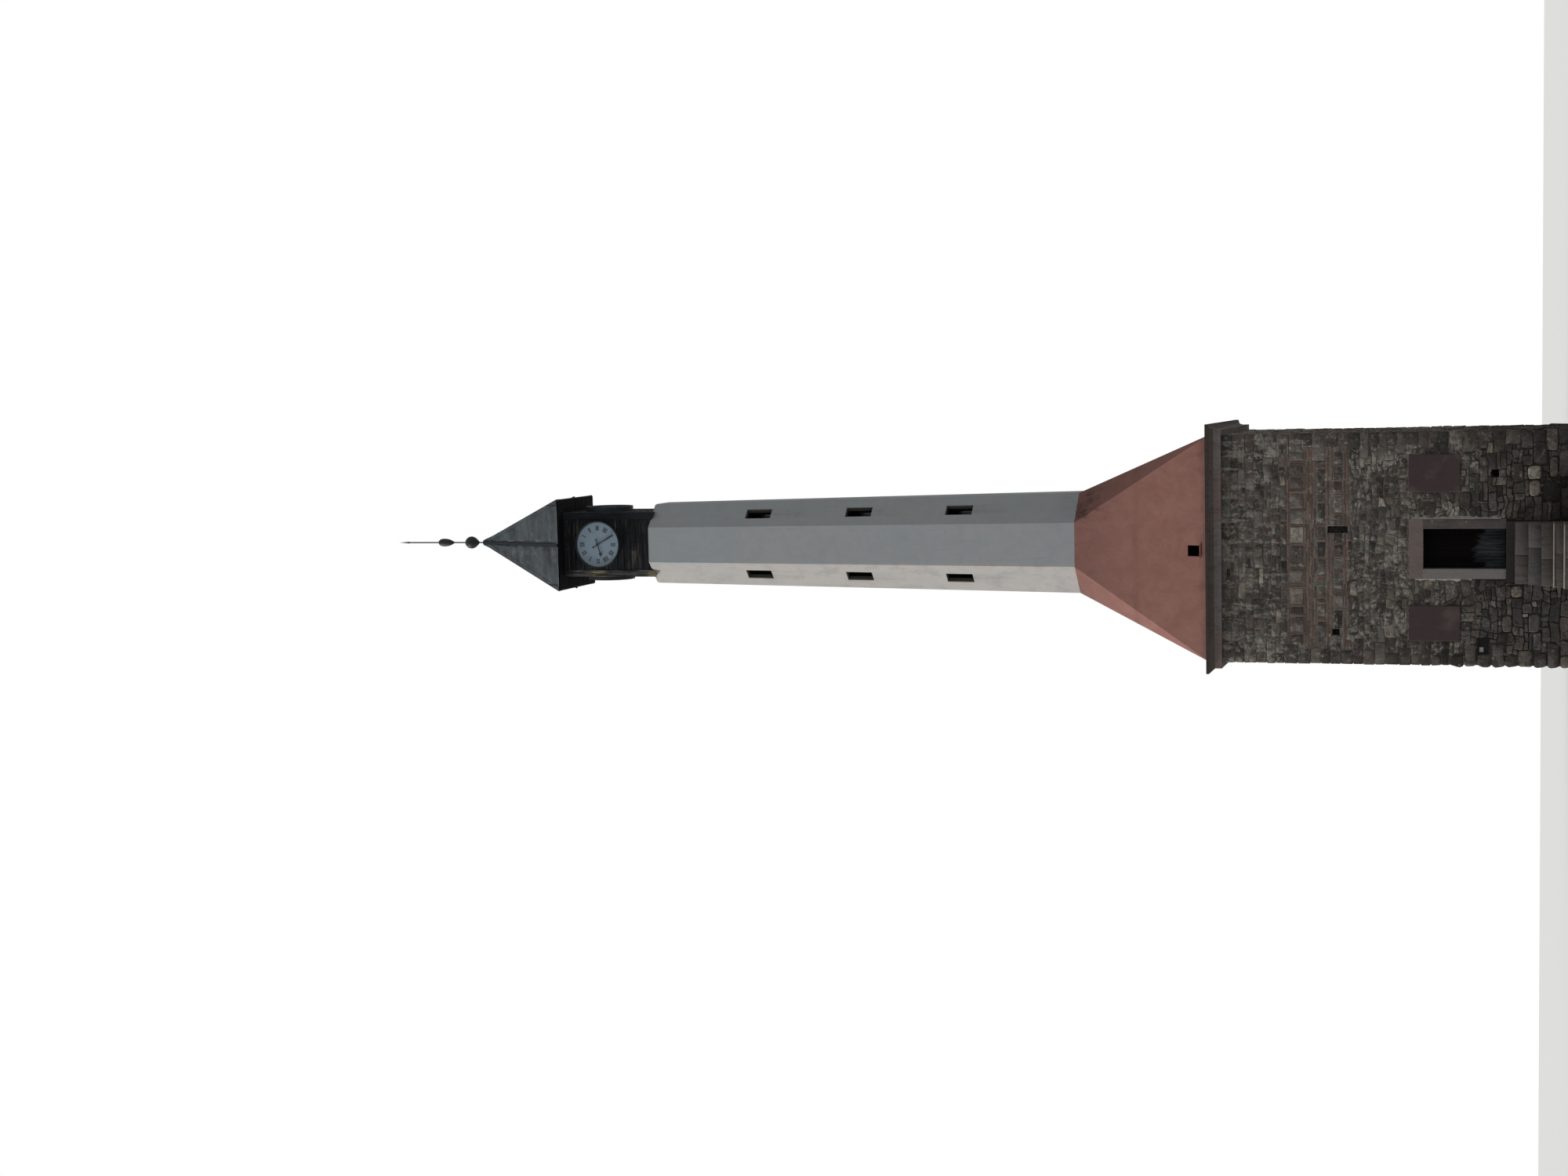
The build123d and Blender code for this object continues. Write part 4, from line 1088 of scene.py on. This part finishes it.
    def lay(self):
        """Lays the whole face: the boulders, then the zones from the ground up."""
        for b in BOULDERS if self.face == "front" else ():
            centre = Vector((b.left + b.right, b.low + b.high)) / 2
            half = Vector((b.right - b.left, b.high - b.low)) / 2
            outline = []
            for k in range(20):
                turn = (math.cos(math.tau * k / 20), math.sin(math.tau * k / 20))
                swell = 0.97 + 0.06 * noise.noise(Vector((turn[0] * 1.3 + b.left, turn[1] * 1.3, b.low)))
                x, z = (math.copysign(abs(c) ** 0.55, c) for c in turn)
                outline.append(centre + Vector((x * half.x, z * half.y)) * swell)
            tone = (b.pick, b.light, 0.1, 1.0)
            lay_field_stone(self.stones, self.face, outline, b.proud, tone, self.rng, 0.035)
        low = 0.0
        for zone in ZONES:
            if zone.heights:
                self.rubble(low, zone.top, zone)
            else:
                for rows, height in BANDS:
                    if rows:
                        self.brick_rows(rows, low, low + height)
                    else:
                        self.framed_row(low, low + height, zone)
                    low += height
            low = zone.top


def quoin_courses(sizes, rng):
    """Corner stones of all four corners: faces, levels and the two legs, long and short by turns."""
    stones = []
    for corner, (first, second) in enumerate(CORNERS):
        low, step = 0.0, corner
        while low < FOOT_TOP - 0.02:
            high = low + rng.uniform(*((0.20, 0.33) if low < BOULDERS_HEAD else (0.17, 0.29)))
            if FOOT_TOP - high < 0.12:
                high = FOOT_TOP
            long_leg = sizes.quoin_long * rng.uniform(0.72, 1.35)
            short_leg = sizes.quoin_short * rng.uniform(0.78, 1.25)
            legs = (long_leg, short_leg) if step % 2 else (short_leg, long_leg)
            stones.append((first, second, low, high, *legs))
            low, step = high, step + 1
    return stones


def quoin_patches(stones, face):
    """Where the corner stones stand on a face."""
    patches = []
    for first, second, low, high, first_leg, second_leg in stones:
        if face == first:
            patches.append(Patch(FOOT_HALF - first_leg, FOOT_HALF + 0.2, low, high))
        if face == second:
            patches.append(Patch(-FOOT_HALF - 0.2, -FOOT_HALF + second_leg, low, high))
    return patches


def add_quoins(skin, stones, sizes, rng):
    """The corner stones themselves, rounder near the ground and roundest at the front left."""
    for first, second, low, high, first_leg, second_leg in stones:
        (first_across, first_away), (second_across, second_away) = FACES[first], FACES[second]
        boulder = second == "front" and low < BOULDERS_HEAD
        proud = sizes.quoin_proud * rng.uniform(0.6, 1.3) + (0.022 if boulder else 0.0)
        gap = sizes.joint / 2
        outer = (first_away + second_away) * (FOOT_HALF + proud)
        inner = outer - first_across * (first_leg + proud - gap) + second_across * (second_leg + proud - gap)
        outer.z, inner.z = low + gap, high - gap
        radius, lump = (0.070, 0.030) if boulder else (0.022, 0.020) if low < 3.0 else (0.014, 0.010)
        pick = rng.uniform(0.08, 0.74) if low > BOULDERS_HEAD else rng.uniform(0.12, 0.86)
        skin.block(outer, inner, radius, (pick, rng.random(), 0.10 if low < 4.5 else 0.5, 1.0), lump)


# Cornice, door frame, dials and roof


def cornice_section(moulded):
    """Section of a course of the cornice, as (out, level): the flat one, or the hollow one with its step."""
    if not moulded:
        return corners_of(-0.05, CORNICE_FASCIA, FOOT_TOP - CORNICE_SKIN, CORNICE_FOOT - 0.002)
    step, fillet = 0.012, 0.010
    arc = []
    for turn in (math.radians(15 * k) for k in range(7)):
        out = CORNICE_FASCIA + fillet + (CORNICE_COVE - fillet) * (1 - math.cos(turn))
        arc.append((out, CORNICE_FOOT + step + (CORNICE_RISE - step) * math.sin(turn)))
    foot, rim = CORNICE_FOOT + 0.001, CORNICE_FASCIA + CORNICE_COVE + 0.004
    return [(-0.05, foot), (CORNICE_FASCIA + 0.008, foot), *arc, (rim, CORNICE_HEAD), (-0.05, CORNICE_HEAD)]


def add_cornice_course(skin, section, block, lightness, joint, rng):
    """One course of the cornice in separate blocks of about one length, mitred at the corners."""
    for face in FACES:
        cuts, here = [-FOOT_HALF - 1], -FOOT_HALF + block * rng.uniform(0.45, 0.95)
        while here < FOOT_HALF - block * 0.40:
            cuts.append(here)
            here += block * rng.uniform(0.70, 1.25)
        cuts.append(FOOT_HALF + 1)
        for start, end in zip(cuts, cuts[1:]):
            swell = CORNICE_SKIN + rng.uniform(0, 0.006)
            tone = (rng.random(), rng.uniform(*lightness), 0.0, 1.0)
            rings = []
            for u, aside in ((start, joint / 2), (end, -joint / 2)):
                places = []
                for out, z in section:
                    reach = FOOT_HALF + out + (swell if out > 0 else 0)
                    places.append(on_face(face, max(-reach, min(reach, u)) + aside, z, reach - FOOT_HALF))
                rings.append(skin.ring(places, tone))
            skin.tube(rings)


def add_pointing(skin, edge, side, low, high, width, rng):
    """A smeared fillet of lime along one upright side of the door frame."""
    rings, z = [], low
    while z < high:
        swell = noise.noise(Vector((z * 6.3, side * 3.1, 0)))
        swell += 0.5 * noise.noise(Vector((z * 17, side * 3.1, 5)))
        reach = side * max(0.012, width * (1 + 1.1 * swell) + rng.uniform(-0.004, 0.004))
        over = side * -0.014 * max(0.0, swell)
        section = [(over, -0.004), (reach, -0.004), (reach * 0.85, 0.30 * width)]
        section += [(reach * 0.4, 0.45 * width), (over, 0.55 * width)]
        rings.append(skin.ring([on_front(edge + aside, z, out) for aside, out in section[::side]]))
        z += 0.045
    skin.tube(rings)


def numeral_strokes(text, height):
    """The strokes of a Roman numeral as flat outlines, centred, with a bar along its head and its foot."""
    thick, thin, bar = height * 0.185, height * 0.085, height * 0.075
    widths = {"I": thick, "V": height * 0.44, "X": height * 0.50}
    total = sum(widths[c] for c in text) + thin * (len(text) - 1)
    low, high, here, strokes = -height / 2, height / 2, -total / 2, []
    for letter in text:
        right = here + widths[letter]
        middle = (here + right) / 2
        # Each stroke's width, its left side at its foot, and its left side at its head
        sides = {
            "I": ((thick, here, here),),
            "V": ((thick, middle - thick / 2, here), (thin, middle - thin / 2, right - thin)),
            "X": ((thick, right - thick, here), (thin, here, right - thin)),
        }
        for wide, a, b in sides[letter]:
            strokes.append([(a, low), (a + wide, low), (b + wide, high), (b, high)])
        here = right + thin
    edge = total / 2 + bar * 0.4
    return strokes + [corners_of(-edge, edge, high - bar, high), corners_of(-edge, edge, low, low + bar)]


def roof_half(z):
    """Half the width of a slope at a level."""
    return EAVE_HIGH.x - ROOF_RUN * (z - EAVE_LOW.z)


def roof_place(face, u, z, lift):
    """A point over a slope of the roof, lifted square to the sheet."""
    across, away = FACES[face]
    size = math.hypot(1, ROOF_RUN)
    return across * u + away * (roof_half(z) + lift / size) + Vector((0, 0, z + lift * ROOF_RUN / size))


def roof_swell(u, z, shift):
    """How far a dented slope swells, from 0 to 1: slack waves across it and a few creases down it."""
    waves = noise.noise(Vector((u * 0.8 + shift, z * 4.3, shift))) * 1.5
    waves += noise.noise(Vector((u * 2.6 + z * 1.3, z * 6.6 + shift, 2.0))) * 0.7
    crease = abs(noise.noise(Vector((u * 2.1 - z * 0.8 + shift, z * 1.2, 7.0))))
    return max(0.0, min(1.0, 0.5 + waves - 2.0 * max(0.0, 0.10 - crease)))


def add_roof_sheet(skin, face, hand, sizes, shift):
    """One dented sheet between a slope's middle seam and a hip, its foot folded over the eave."""
    low, high = EAVE_LOW.z + 0.004, ROOF_CAP_FOOT
    columns, rows = 22, int((high - low) / 0.035)
    grid, squares = [], []
    for r in range(rows + 1):
        z = low + (high - low) * r / rows
        reach = max(roof_half(z) - HIP_COVER, SEAM_HALF + 0.004)
        places = []
        for c in range(columns + 1):
            u = hand * (SEAM_HALF + (reach - SEAM_HALF) * c / columns)
            held = min(1.0, c / 3, (columns - c) / 3, r / 3, (rows - r) / 3)
            lift = sizes.sheet + sizes.dent * roof_swell(u, z, shift) * (0.05 + 0.95 * held)
            lift += sizes.sheet * max(0.0, 1 - r / 1.5) + 0.011 * max(0.0, 1 - (columns - c) / 4)
            places.append(roof_place(face, u, z, lift))
        grid.append(skin.ring(places))
    for lower, upper in zip(grid, grid[1:]):
        squares += zip(lower, lower[1:], upper[1:], upper)
    edge = grid[0][:-1] + [row[-1] for row in grid[:-1]] + grid[-1][:0:-1] + [row[0] for row in grid[:0:-1]]
    depth = FACES[face][1] * (sizes.sheet * 3 + sizes.dent)
    skirt = skin.ring([point.co - depth for point in edge])
    squares += zip(after(edge), edge, skirt, after(skirt))
    for square in (*squares, skirt[::-1]):
        skin.bm.faces.new(square[::hand])


# Operators: one for each group of pieces


class TOWER_OT_nodes(bpy.types.Operator):
    """Give the packed solids their finishes"""

    bl_idname = "tower.finish_nodes"
    bl_label = "Finish the solids"

    def execute(self, context):
        for node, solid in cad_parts.items():
            names = [name for pattern, name in NODE_FINISHES.items() if fnmatch(node, pattern)]
            if not names:
                raise RuntimeError(f"{node} has no finish")
            for slot in solid.material_slots:
                slot.material = finish(names[-1])
        return {"FINISHED"}


class TOWER_OT_walls(bpy.types.Operator):
    """Lay the stones, the brick bands and the corner stones of the foot"""

    bl_idname = "tower.lay_walls"
    bl_label = "Lay the walls"

    def execute(self, context):
        sizes = context.scene.tower_sizes
        stones = quoin_courses(sizes, random.Random(sizes.seed + 50))
        quoins = Skin()
        add_quoins(quoins, stones, sizes, random.Random(sizes.seed + 60))
        quoins.piece("corner_stones", "laid_stone", slot="foot_masonry")
        for number, face in enumerate(FACES):
            patches = standing_patches(face) + quoin_patches(stones, face)
            wall = WallLayer(face, sizes, random.Random(sizes.seed + number), patches)
            wall.lay()
            wall.stones.piece(f"field_stones_{face}", "laid_stone", slot="foot_masonry")
            wall.bricks.piece(f"band_bricks_{face}", "fired_brick", slot="foot_masonry", smooth=False)
        return {"FINISHED"}


class TOWER_OT_cornice(bpy.types.Operator):
    """Set the cornice blocks"""

    bl_idname = "tower.set_cornice"
    bl_label = "Set the cornice"

    def execute(self, context):
        sizes = context.scene.tower_sizes
        rng = random.Random(sizes.seed + 70)
        for name, moulded, block, lightness, finish_name in (
            ("cornice_fascia_blocks", False, sizes.fascia_block, (0.2, 1.0), "cornice_block_stone"),
            ("cornice_mould_blocks", True, sizes.mould_block, (0.0, 0.8), "cornice_mould_stone"),
        ):
            skin = Skin()
            add_cornice_course(skin, cornice_section(moulded), block, lightness, sizes.block_joint, rng)
            skin.piece(name, finish_name, slot="cornice_stone", smooth=False)
        return {"FINISHED"}


class TOWER_OT_stair(bpy.types.Operator):
    """Set the stair's worn blocks, two to a tread, with a thin pale slab on the two lowest, its paleness painted
    sunlight on the treads
    """

    bl_idname = "tower.set_stair"
    bl_label = "Set the stair"

    def execute(self, context):
        sizes = context.scene.tower_sizes
        rng = random.Random(sizes.seed + 80)
        skin, gap = Skin(), sizes.block_joint / 2
        for number, meeting in enumerate((0.47, 0.53, 0.43, 0.60, 0.46), start=1):
            low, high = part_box(f"step_{number}")
            middle = low.x + (high.x - low.x) * meeting
            painted_light_nosing = sizes.painted_light_nosing if number <= 2 else 0.0
            for left, right in ((low.x, middle - gap), (middle + gap, high.x)):
                corner = (left, low.y + rng.uniform(0, 0.006) + painted_light_nosing * 0.4, low.z + 0.001)
                tone = (rng.uniform(0.5, 1.0) if painted_light_nosing else rng.uniform(0.0, 0.6), rng.random(), 0.0, 1.0)
                skin.block(corner, (right, high.y, high.z - painted_light_nosing), 0.010, tone, 0.004)
            # Painted light: a pale slab over the tread top, for sunlight on it
            if painted_light_nosing:
                skin.block((low.x, low.y, high.z - painted_light_nosing), high, 0.008, (0.5, 0.8, 1.0, 1.0), 0.002)
        stair = skin.piece("stair_blocks", "worn_step_stone", slot="step_stone")
        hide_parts("step_1", "step_2", "step_3", "step_4", "step_5")
        return {"FINISHED"}


class TOWER_OT_doorway(bpy.types.Operator):
    """Hang the door's planks and point the joint beside the frame"""

    bl_idname = "tower.finish_doorway"
    bl_label = "Finish the doorway"

    def execute(self, context):
        sizes = context.scene.tower_sizes
        rng = random.Random(sizes.seed + 90)
        low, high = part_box("door_jambs")
        half = DOOR_HALF - 0.008
        pitch = 2 * half / sizes.planks
        skin = Skin()
        for k in range(sizes.planks):
            left = -half + k * pitch + sizes.plank_gap / 2
            right = left + pitch - sizes.plank_gap
            front = LEAF_FACE - sizes.plank_proud * rng.uniform(0.8, 1.1)
            corner = (left, front, low.z + 0.012 + rng.uniform(0, 0.008))
            skin.block(corner, (right, LEAF_FACE + 0.006, high.z - 0.004), 0.003, random_tone(rng))
        skin.piece("door_plank_faces", "door_planks", body="door", slot="door_wood")
        skin = Skin(toned=False)
        add_pointing(skin, high.x, 1, low.z + 0.1, high.z + 0.26, 0.062, rng)
        add_pointing(skin, low.x, -1, low.z + 0.7, high.z + 0.2, 0.040, rng)
        skin.piece("jamb_pointing", "fresh_pointing", slot="foot_masonry")
        return {"FINISHED"}


class TOWER_OT_wall_box(bpy.types.Operator):
    """Set the small iron-framed box in the wall, with a bare plate inside it"""

    bl_idname = "tower.set_wall_box"
    bl_label = "Set the wall box"

    def execute(self, context):
        p, bar = WALL_BOX, 0.026
        inner = Patch(p.left + bar, p.right - bar, p.low + bar, p.high - bar)
        skin = Skin(toned=False)
        for sides in (
            (p.left, inner.left, p.low, p.high),
            (inner.right, p.right, p.low, p.high),
            (inner.left, inner.right, p.low, inner.low),
            (inner.left, inner.right, inner.high, p.high),
        ):
            skin.prism(corners_of(*sides), on_front, -0.01, 0.030)
        skin.prism(corners_of(*inner), on_front, -0.01, 0.006)
        skin.piece("wall_box_frame", "iron", smooth=False)
        skin, left, low = Skin(toned=False), inner.left + 0.03, inner.high - 0.105
        skin.prism(corners_of(left, left + 0.105, low, low + 0.085), on_front, 0.004, 0.012)
        skin.piece("wall_box_plate", "bare_label", smooth=False)
        return {"FINISHED"}


class TOWER_OT_cabin(bpy.types.Operator):
    """Board the cabin, at the levels of its real joints, and the underside of its eaves"""

    bl_idname = "tower.board_cabin"
    bl_label = "Board the cabin"

    def execute(self, context):
        sizes = context.scene.tower_sizes
        rng = random.Random(sizes.seed + 100)
        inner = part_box("cabin_boarding")[1].x - 0.02
        foot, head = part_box("cabin_sills")[0].z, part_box("cabin_plates")[0].z
        half, front = POST_OUT - POST_SIZE - 0.001, POST_OUT - 0.003
        skin = Skin()
        for across, away in FACES.values():
            joints = [foot + 0.002, *BOARD_JOINTS]
            while joints[-1] < head - 0.10:
                joints.append(joints[-1] + rng.uniform(0.145, 0.185))
            joints[-1] = head + 0.06
            for low, high in zip(joints, joints[1:]):
                gap = sizes.board_gap * rng.uniform(0.5, 1.3) / 2
                top = front - sizes.board_tilt * rng.uniform(0.5, 1.3)
                section = [(inner, low + gap), (front, low + gap), (top, high - gap), (inner, high - gap)]
                ends = [-half, half]
                if rng.random() < 0.35:
                    ends.insert(1, rng.uniform(-0.3, 0.3))
                for start, end in zip(ends, ends[1:]):
                    tone, rings = random_tone(rng), []
                    for k in range(4):
                        along = across * (start + 0.002 + (end - start - 0.004) * k / 3)
                        places = [along + away * out + Vector((0, 0, z)) for out, z in section]
                        rings.append(skin.ring(places, tone))
                    skin.tube(rings)
        skin.piece("cabin_boards", "board_across", slot="cabin_boards", smooth=False)
        skin = Skin()
        low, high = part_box("roof_soffit")
        pitch = (high.x - low.x) / SOFFIT_BOARDS
        for start in (low.y + k * pitch for k in range(SOFFIT_BOARDS)):
            corner = (low.x + 0.002, start + 0.004, low.z - rng.uniform(0.006, 0.010))
            other = (high.x - 0.002, start + pitch - 0.004, low.z + 0.004)
            skin.block(corner, other, 0.002, random_tone(rng))
        skin.piece("soffit_boards", "soffit_board", slot="cabin_boards", smooth=False)
        return {"FINISHED"}


class TOWER_OT_dials(bpy.types.Operator):
    """Paint the numerals on the four dials, their feet towards the middle"""

    bl_idname = "tower.number_dials"
    bl_label = "Number the dials"

    def execute(self, context):
        sizes = context.scene.tower_sizes
        skin, up = Skin(toned=False), Vector((0, 0, 1))
        for across, away in FACES.values():
            for hour, text in enumerate(NUMERALS, start=1):
                turn = math.radians(30 * hour)
                radial = across * math.sin(turn) + up * math.cos(turn)
                along = across * math.cos(turn) - up * math.sin(turn)

                def place(a, b, out, away=away, radial=radial, along=along):
                    centre = away * (DIAL_FACE_OUT + out) + up * DIAL_LEVEL
                    return centre + radial * (sizes.numeral_radius + b) + along * a

                for order, stroke in enumerate(numeral_strokes(text, sizes.numeral_height)):
                    skin.prism(stroke, place, -0.001, sizes.numeral_thick + order * 0.00008)
        skin.piece("dial_numerals", "numeral_paint", slot="dial_enamel", smooth=False)
        return {"FINISHED"}


class TOWER_OT_roof(bpy.types.Operator):
    """Cover the roof with dented sheets and bright folded eaves"""

    bl_idname = "tower.cover_roof"
    bl_label = "Cover the roof"

    def execute(self, context):
        sizes = context.scene.tower_sizes
        skin = Skin(toned=False)
        for number, face in enumerate(FACES):
            for hand in (-1, 1):
                add_roof_sheet(skin, face, hand, sizes, number * 7.3 + hand)
        skin.piece("roof_sheets", "dull_roof_sheet", slot="roof_sheet")
        skin = Skin(toned=False)
        reach, out_to = EAVE_HIGH.x - HIP_COVER, EAVE_HIGH.x - FOOT_HALF
        fold = sizes.eave_fold
        section = ((0.0, -0.004), (0.008, -0.006), (0.010, fold * 0.6), (-0.004, fold))
        for face in FACES:
            for ends in ((-reach, -SEAM_HALF), (SEAM_HALF, reach)):
                rings = []
                for u in ends:
                    places = [on_face(face, u, EAVE_LOW.z + z, out_to + out) for out, z in section]
                    rings.append(skin.ring(places))
                skin.tube(rings)
        skin.piece("eave_folds", "eave_fold", slot="roof_sheet", smooth=False)
        return {"FINISHED"}


class TOWER_OT_stage(bpy.types.Operator):
    """Set the camera, the floor and the light"""

    bl_idname = "tower.set_stage"
    bl_label = "Set the stage"

    def execute(self, context):
        settings = context.scene.tower_stage
        add_camera(settings)
        skin = Skin(toned=False)
        reach = FLOOR_REACH
        skin.bm.faces.new(skin.ring([(x, y, 0) for x, y in corners_of(-reach, reach, -reach, reach)]))
        floor = skin.piece("floor", "plain_floor", body=None, smooth=False)
        add_light(settings)
        context.scene.view_settings.view_transform = "Standard"
        return {"FINISHED"}


def add_camera(settings):
    """The camera; the picture lies on its side, with the tower's top to the left."""
    pitch, roll, heading = settings.pitch, settings.roll, settings.heading
    level = Vector((-math.sin(heading), math.cos(heading), 0))
    ahead = level * math.cos(pitch) + Vector((0, 0, math.sin(pitch)))
    right = Vector((math.cos(heading), math.sin(heading), 0))
    down = ahead.cross(right)
    rolled_right = right * math.cos(roll) + down * math.sin(roll)
    rolled_down = down * math.cos(roll) - right * math.sin(roll)
    camera = bpy.data.objects.new("viewpoint", bpy.data.cameras.new("viewpoint"))
    camera.data.sensor_width = 36.0
    camera.data.lens = settings.lens
    camera.data.clip_end = 1000
    turn = Matrix((rolled_down, rolled_right, -ahead)).transposed()
    camera.matrix_world = Matrix.Translation(Vector(settings.place)) @ turn.to_4x4()
    bpy.context.scene.collection.objects.link(camera)
    bpy.context.scene.camera = camera


def add_light(settings):
    """Even light from all round and a soft key from the left; the camera sees plain white behind."""
    world = bpy.context.scene.world = bpy.data.worlds.new("studio")
    world.use_nodes = True
    sky = Nodes(world.node_tree)
    even = {"Color": (0.97, 0.985, 1.0, 1.0), "Strength": settings.ambient}
    behind = {"Color": paint(settings.backdrop), "Strength": 1.0}
    seen = [sky.node("ShaderNodeLightPath", f"Is {ray} Ray") for ray in ("Camera", "Glossy", "Transmission")]
    inputs = {0: seen[0].or_more(seen[1]).or_more(seen[2])}
    inputs[1], inputs[2] = (sky.node("ShaderNodeBackground", 0, None, light) for light in (even, behind))
    surface = sky.tree.nodes["World Output"].inputs["Surface"]
    sky.feed(surface, sky.node("ShaderNodeMixShader", 0, None, inputs))
    key = bpy.data.objects.new("key_light", bpy.data.lights.new("key_light", "SUN"))
    key.data.energy = settings.key
    key.data.angle = math.radians(14)
    key.rotation_euler = Vector((-0.95, -0.22, 0.60)).to_track_quat("Z", "Y").to_euler()
    bpy.context.scene.collection.objects.link(key)


class TOWER_PT_finishes(bpy.types.Panel):
    """The tower's groups of pieces, in the order that they are made"""

    bl_idname = "TOWER_PT_finishes"
    bl_label = "Clock tower"
    bl_space_type = "VIEW_3D"
    bl_region_type = "UI"
    bl_category = "Clock tower"

    def draw(self, context):
        for name, group in SETTINGS.items():
            box = self.layout.box()
            box.label(text=group.__doc__)
            for setting in group.__annotations__:
                box.prop(getattr(context.scene, name), setting)
        for operator in OPERATORS:
            self.layout.operator(operator.bl_idname)


OPERATORS = (
    TOWER_OT_nodes,
    TOWER_OT_walls,
    TOWER_OT_cornice,
    TOWER_OT_stair,
    TOWER_OT_doorway,
    TOWER_OT_wall_box,
    TOWER_OT_cabin,
    TOWER_OT_dials,
    TOWER_OT_roof,
    TOWER_OT_stage,
)


def register():
    for cls in (*SETTINGS.values(), *OPERATORS, TOWER_PT_finishes):
        bpy.utils.register_class(cls)
    for name, group in SETTINGS.items():
        setattr(bpy.types.Scene, name, PointerProperty(type=group))


def unregister():
    for name in SETTINGS:
        delattr(bpy.types.Scene, name)
    for cls in (TOWER_PT_finishes, *reversed(OPERATORS), *reversed(SETTINGS.values())):
        bpy.utils.unregister_class(cls)


def main():
    """Registers the classes and makes every group of pieces in order."""
    register()
    for operator in OPERATORS:
        group, name = operator.bl_idname.split(".")
        getattr(getattr(bpy.ops, group), name)()


if __name__ == "__main__":
    main()
